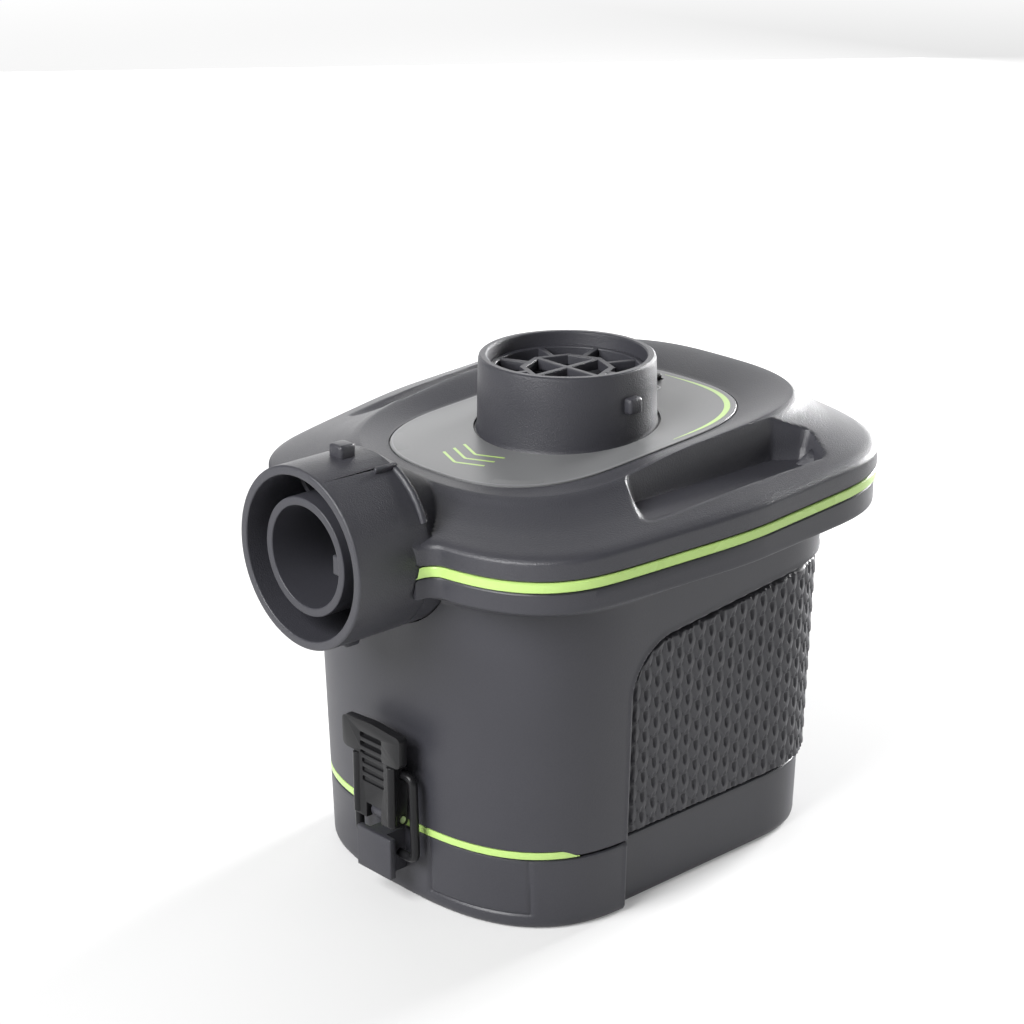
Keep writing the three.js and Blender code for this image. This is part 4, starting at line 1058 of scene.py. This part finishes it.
# ----- cells, springs and wires -----
def make_cell(number, x, y, upright):
    """A jacketed cell: a rolled rim at each end, a metal nub on top."""
    nub, foot = CELL_LENGTH - 1.6, CELL_UP_BASE if upright else CELL_DOWN_BASE
    body = [(0.01, 0.0), (CELL_R - 1.6, 0.0), (CELL_R - 0.9, 0.5), (CELL_R - 0.4, 0.2), (CELL_R, 0.8)]
    body += [(CELL_R, nub - 0.8), (CELL_R - 0.4, nub - 0.1), (CELL_R - 1.3, nub - 0.4), (3.4, nub - 0.4)]
    body += [(3.2, nub), (3.2, CELL_LENGTH - 0.4), (2.7, CELL_LENGTH), (0.01, CELL_LENGTH)]
    cell = capped(f"cell_body_{number}", turned_rings(body, 64))
    if not upright:
        spun(cell, 180, "X", (0, 0, CELL_LENGTH / 2))
    shifted(cell, x, y, foot)
    finished(cell, CELL, [f"cell_{number}"])
    cell.data.materials.append(NICKEL)
    for polygon in cell.data.polygons:
        if math.hypot(polygon.center.x - x * MM, polygon.center.y - y * MM) < (CELL_R - 0.7) * MM:
            polygon.material_index = 1


def make_spring(number, x, y, upright):
    """A conical coil spring of two and a half turns, on the tray or under the board."""
    share = np.linspace(0, 1, 91)
    path = level(circle(5 * math.pi * share, 5.6 - 2.6 * share), 0.45 + 2.2 * share)
    side, base = ("lower", SPRING_UP_BASE) if upright else ("upper", SPRING_DOWN_BASE)
    spring = tube(f"{side}_coil_{number}", path, 0.35, 10)
    if not upright:
        spun(spring, 180, "X")
    shifted(spring, x, y, base)
    finished(spring, NICKEL, [f"{side}_spring_{number}"], sharp=60)


def make_wire(name, side, material):
    end = SWITCH_X + side * 4
    offsets = [(12, 26, 60.2), (12, 38, 64), (10, 44, 80), (3, 44, 98), (0, 42, 105), (0, 40, 109.2)]
    points = [(end + side * out, y, z) for out, y, z in offsets]
    wire = tube(f"lead_{name}", catmull(points, 10), 0.9, 14)
    finished(wire, material, [f"wire_{name}"], sharp=60)


def make_electrics():
    spots = [(column * CELL_PITCH, row * (CELL_PITCH + 1)) for row in (-0.5, 0.5) for column in (-1, 0, 1)]
    for index, (x, y) in enumerate(spots):
        upright = index % 2 == 0
        make_cell(index + 1, x, y, upright)
        make_spring(index + 1, x, y, upright)
    make_wire("red", 1, WIRE_RED)
    make_wire("black", -1, WIRE_BLACK)


# ----- parts kept as the frame has them -----
KEPT = {
    "volute_lid": INNER, "impeller": IMPELLER, "motor_can": STEEL,
    "motor_end_cap": BLACK, "motor_shaft": STEEL, "rotor_core": MAGNET, "commutator": COPPER,
    "magnet_right": MAGNET, "magnet_left": MAGNET, "motor_screw_right": STEEL, "motor_screw_left": STEEL,
    "battery_tray": INNER, "contact_board": INNER, "latch_pin": STEEL, "hinge_pin": STEEL,
    "switch_body": BLACK,
}


def dress_kept_nodes():
    """Gives every node that is still shown its material and softened edges."""
    for name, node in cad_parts.items():
        if node.hide_render:
            continue
        if name.startswith("housing_screw"):
            material = STEEL
        elif "contact_" in name and name not in KEPT:
            material = NICKEL
        else:
            material = KEPT[name]
        paint(node, material)
        add_bevel(node, 0.15, 40.0, 2)


# ----- stage -----
FLOOR_HALF, PAPER, FLOOR_GLOW = 3000.0, 0.56, 0.2
AROUND, OVERHEAD, BACKDROP = 0.03, 0.18, 1.1


def make_floor():
    """A white sheet of paper that glows more with distance, so that it runs into the backdrop."""
    corners = [(x * FLOOR_HALF, y * FLOOR_HALF, 0) for x, y in ((-1, -1), (1, -1), (1, 1), (-1, 1))]
    floor = mesh_object("floor", corners, [(0, 1, 2, 3)])
    material, nodes, links, shader = new_material("floor_paper")
    fill(shader, {"Base Color": (*[PAPER] * 3, 1), "Roughness": 0.8, "Specular IOR Level": 0.1})
    fill(shader, {"Emission Color": (1, 1, 1, 1)})
    coords = nodes.new("ShaderNodeTexCoord")
    distance = nodes.new("ShaderNodeVectorMath")
    distance.operation = "LENGTH"
    links.new(coords.outputs["Object"], distance.inputs[0])
    glow = mapped(nodes, links, distance.outputs["Value"], FLOOR_GLOW, 1.0, 0.5, 2.0)
    links.new(glow, shader.inputs["Emission Strength"])
    floor.data.materials.append(material)


def make_world():
    """A white backdrop behind a dimmer studio, which is darkest overhead."""
    world = bpy.data.worlds.new("studio")
    bpy.context.scene.world = world
    world.use_nodes = True
    nodes, links = world.node_tree.nodes, world.node_tree.links
    coords = nodes.new("ShaderNodeTexCoord")
    split = nodes.new("ShaderNodeSeparateXYZ")
    ramp = nodes.new("ShaderNodeValToRGB")
    links.new(coords.outputs["Generated"], split.inputs[0])
    links.new(split.outputs["Z"], ramp.inputs[0])
    for element, shade in zip(ramp.color_ramp.elements, (AROUND, OVERHEAD)):
        element.color = (*[shade] * 3, 1)
    room = nodes["Background"]
    links.new(ramp.outputs[0], room.inputs["Color"])
    backdrop = nodes.new("ShaderNodeBackground")
    fill(backdrop, {"Color": (1, 1, 1, 1), "Strength": BACKDROP})
    ray = nodes.new("ShaderNodeLightPath")
    both = nodes.new("ShaderNodeMixShader")
    links.new(ray.outputs["Is Camera Ray"], both.inputs[0])
    links.new(room.outputs[0], both.inputs[1])
    links.new(backdrop.outputs[0], both.inputs[2])
    links.new(both.outputs[0], nodes["World Output"].inputs["Surface"])


# name, place, diameter, energy
LIGHTS = [
    ("back_left", (-900, 700, 420), 1200, 7.0),
    ("back", (-80, 1100, 340), 450, 36.0),
    ("right", (900, 700, 200), 350, 1.4),
    ("front", (20, -1000, 780), 800, 25.5),
]
AIM = Vector((0.0, 0.0, 80.0))


def make_lights():
    for name, place, size, energy in LIGHTS:
        light = bpy.data.lights.new(name, "AREA")
        light.shape, light.size, light.energy = "DISK", size * MM, energy
        made = added(name, light)
        made.location = Vector(place) * MM
        made.rotation_euler = (AIM - Vector(place)).to_track_quat("-Z", "Y").to_euler()


def make_camera():
    camera = added("camera", bpy.data.cameras.new("camera"))
    eye, target = Vector((467.2, -450.8, 327.2)), Vector((2.4, -22.5, 99.76))
    camera.data.sensor_width = 36.0
    camera.data.lens = 88.3
    camera.data.clip_start, camera.data.clip_end = 0.05, 20.0
    camera.location = eye * MM
    look = (target - eye).to_track_quat("-Z", "Y")
    roll = Matrix.Rotation(math.radians(-0.09), 4, "Z").to_quaternion()
    camera.rotation_mode = "QUATERNION"
    camera.rotation_quaternion = look @ roll
    bpy.context.scene.camera = camera


# ----- assembly -----
make_top_cover()
make_label()
make_green_line()
make_marks()
make_housing()
make_battery_cover()
make_upper_stripe()
make_lower_stripe()
make_grille()
make_grips()
make_volute_casing()
make_lever()
make_bail()
make_bezel()
make_rocker()
make_electrics()
dress_kept_nodes()

make_floor()
make_world()
make_lights()
make_camera()
bpy.context.scene.view_settings.view_transform = "Standard"
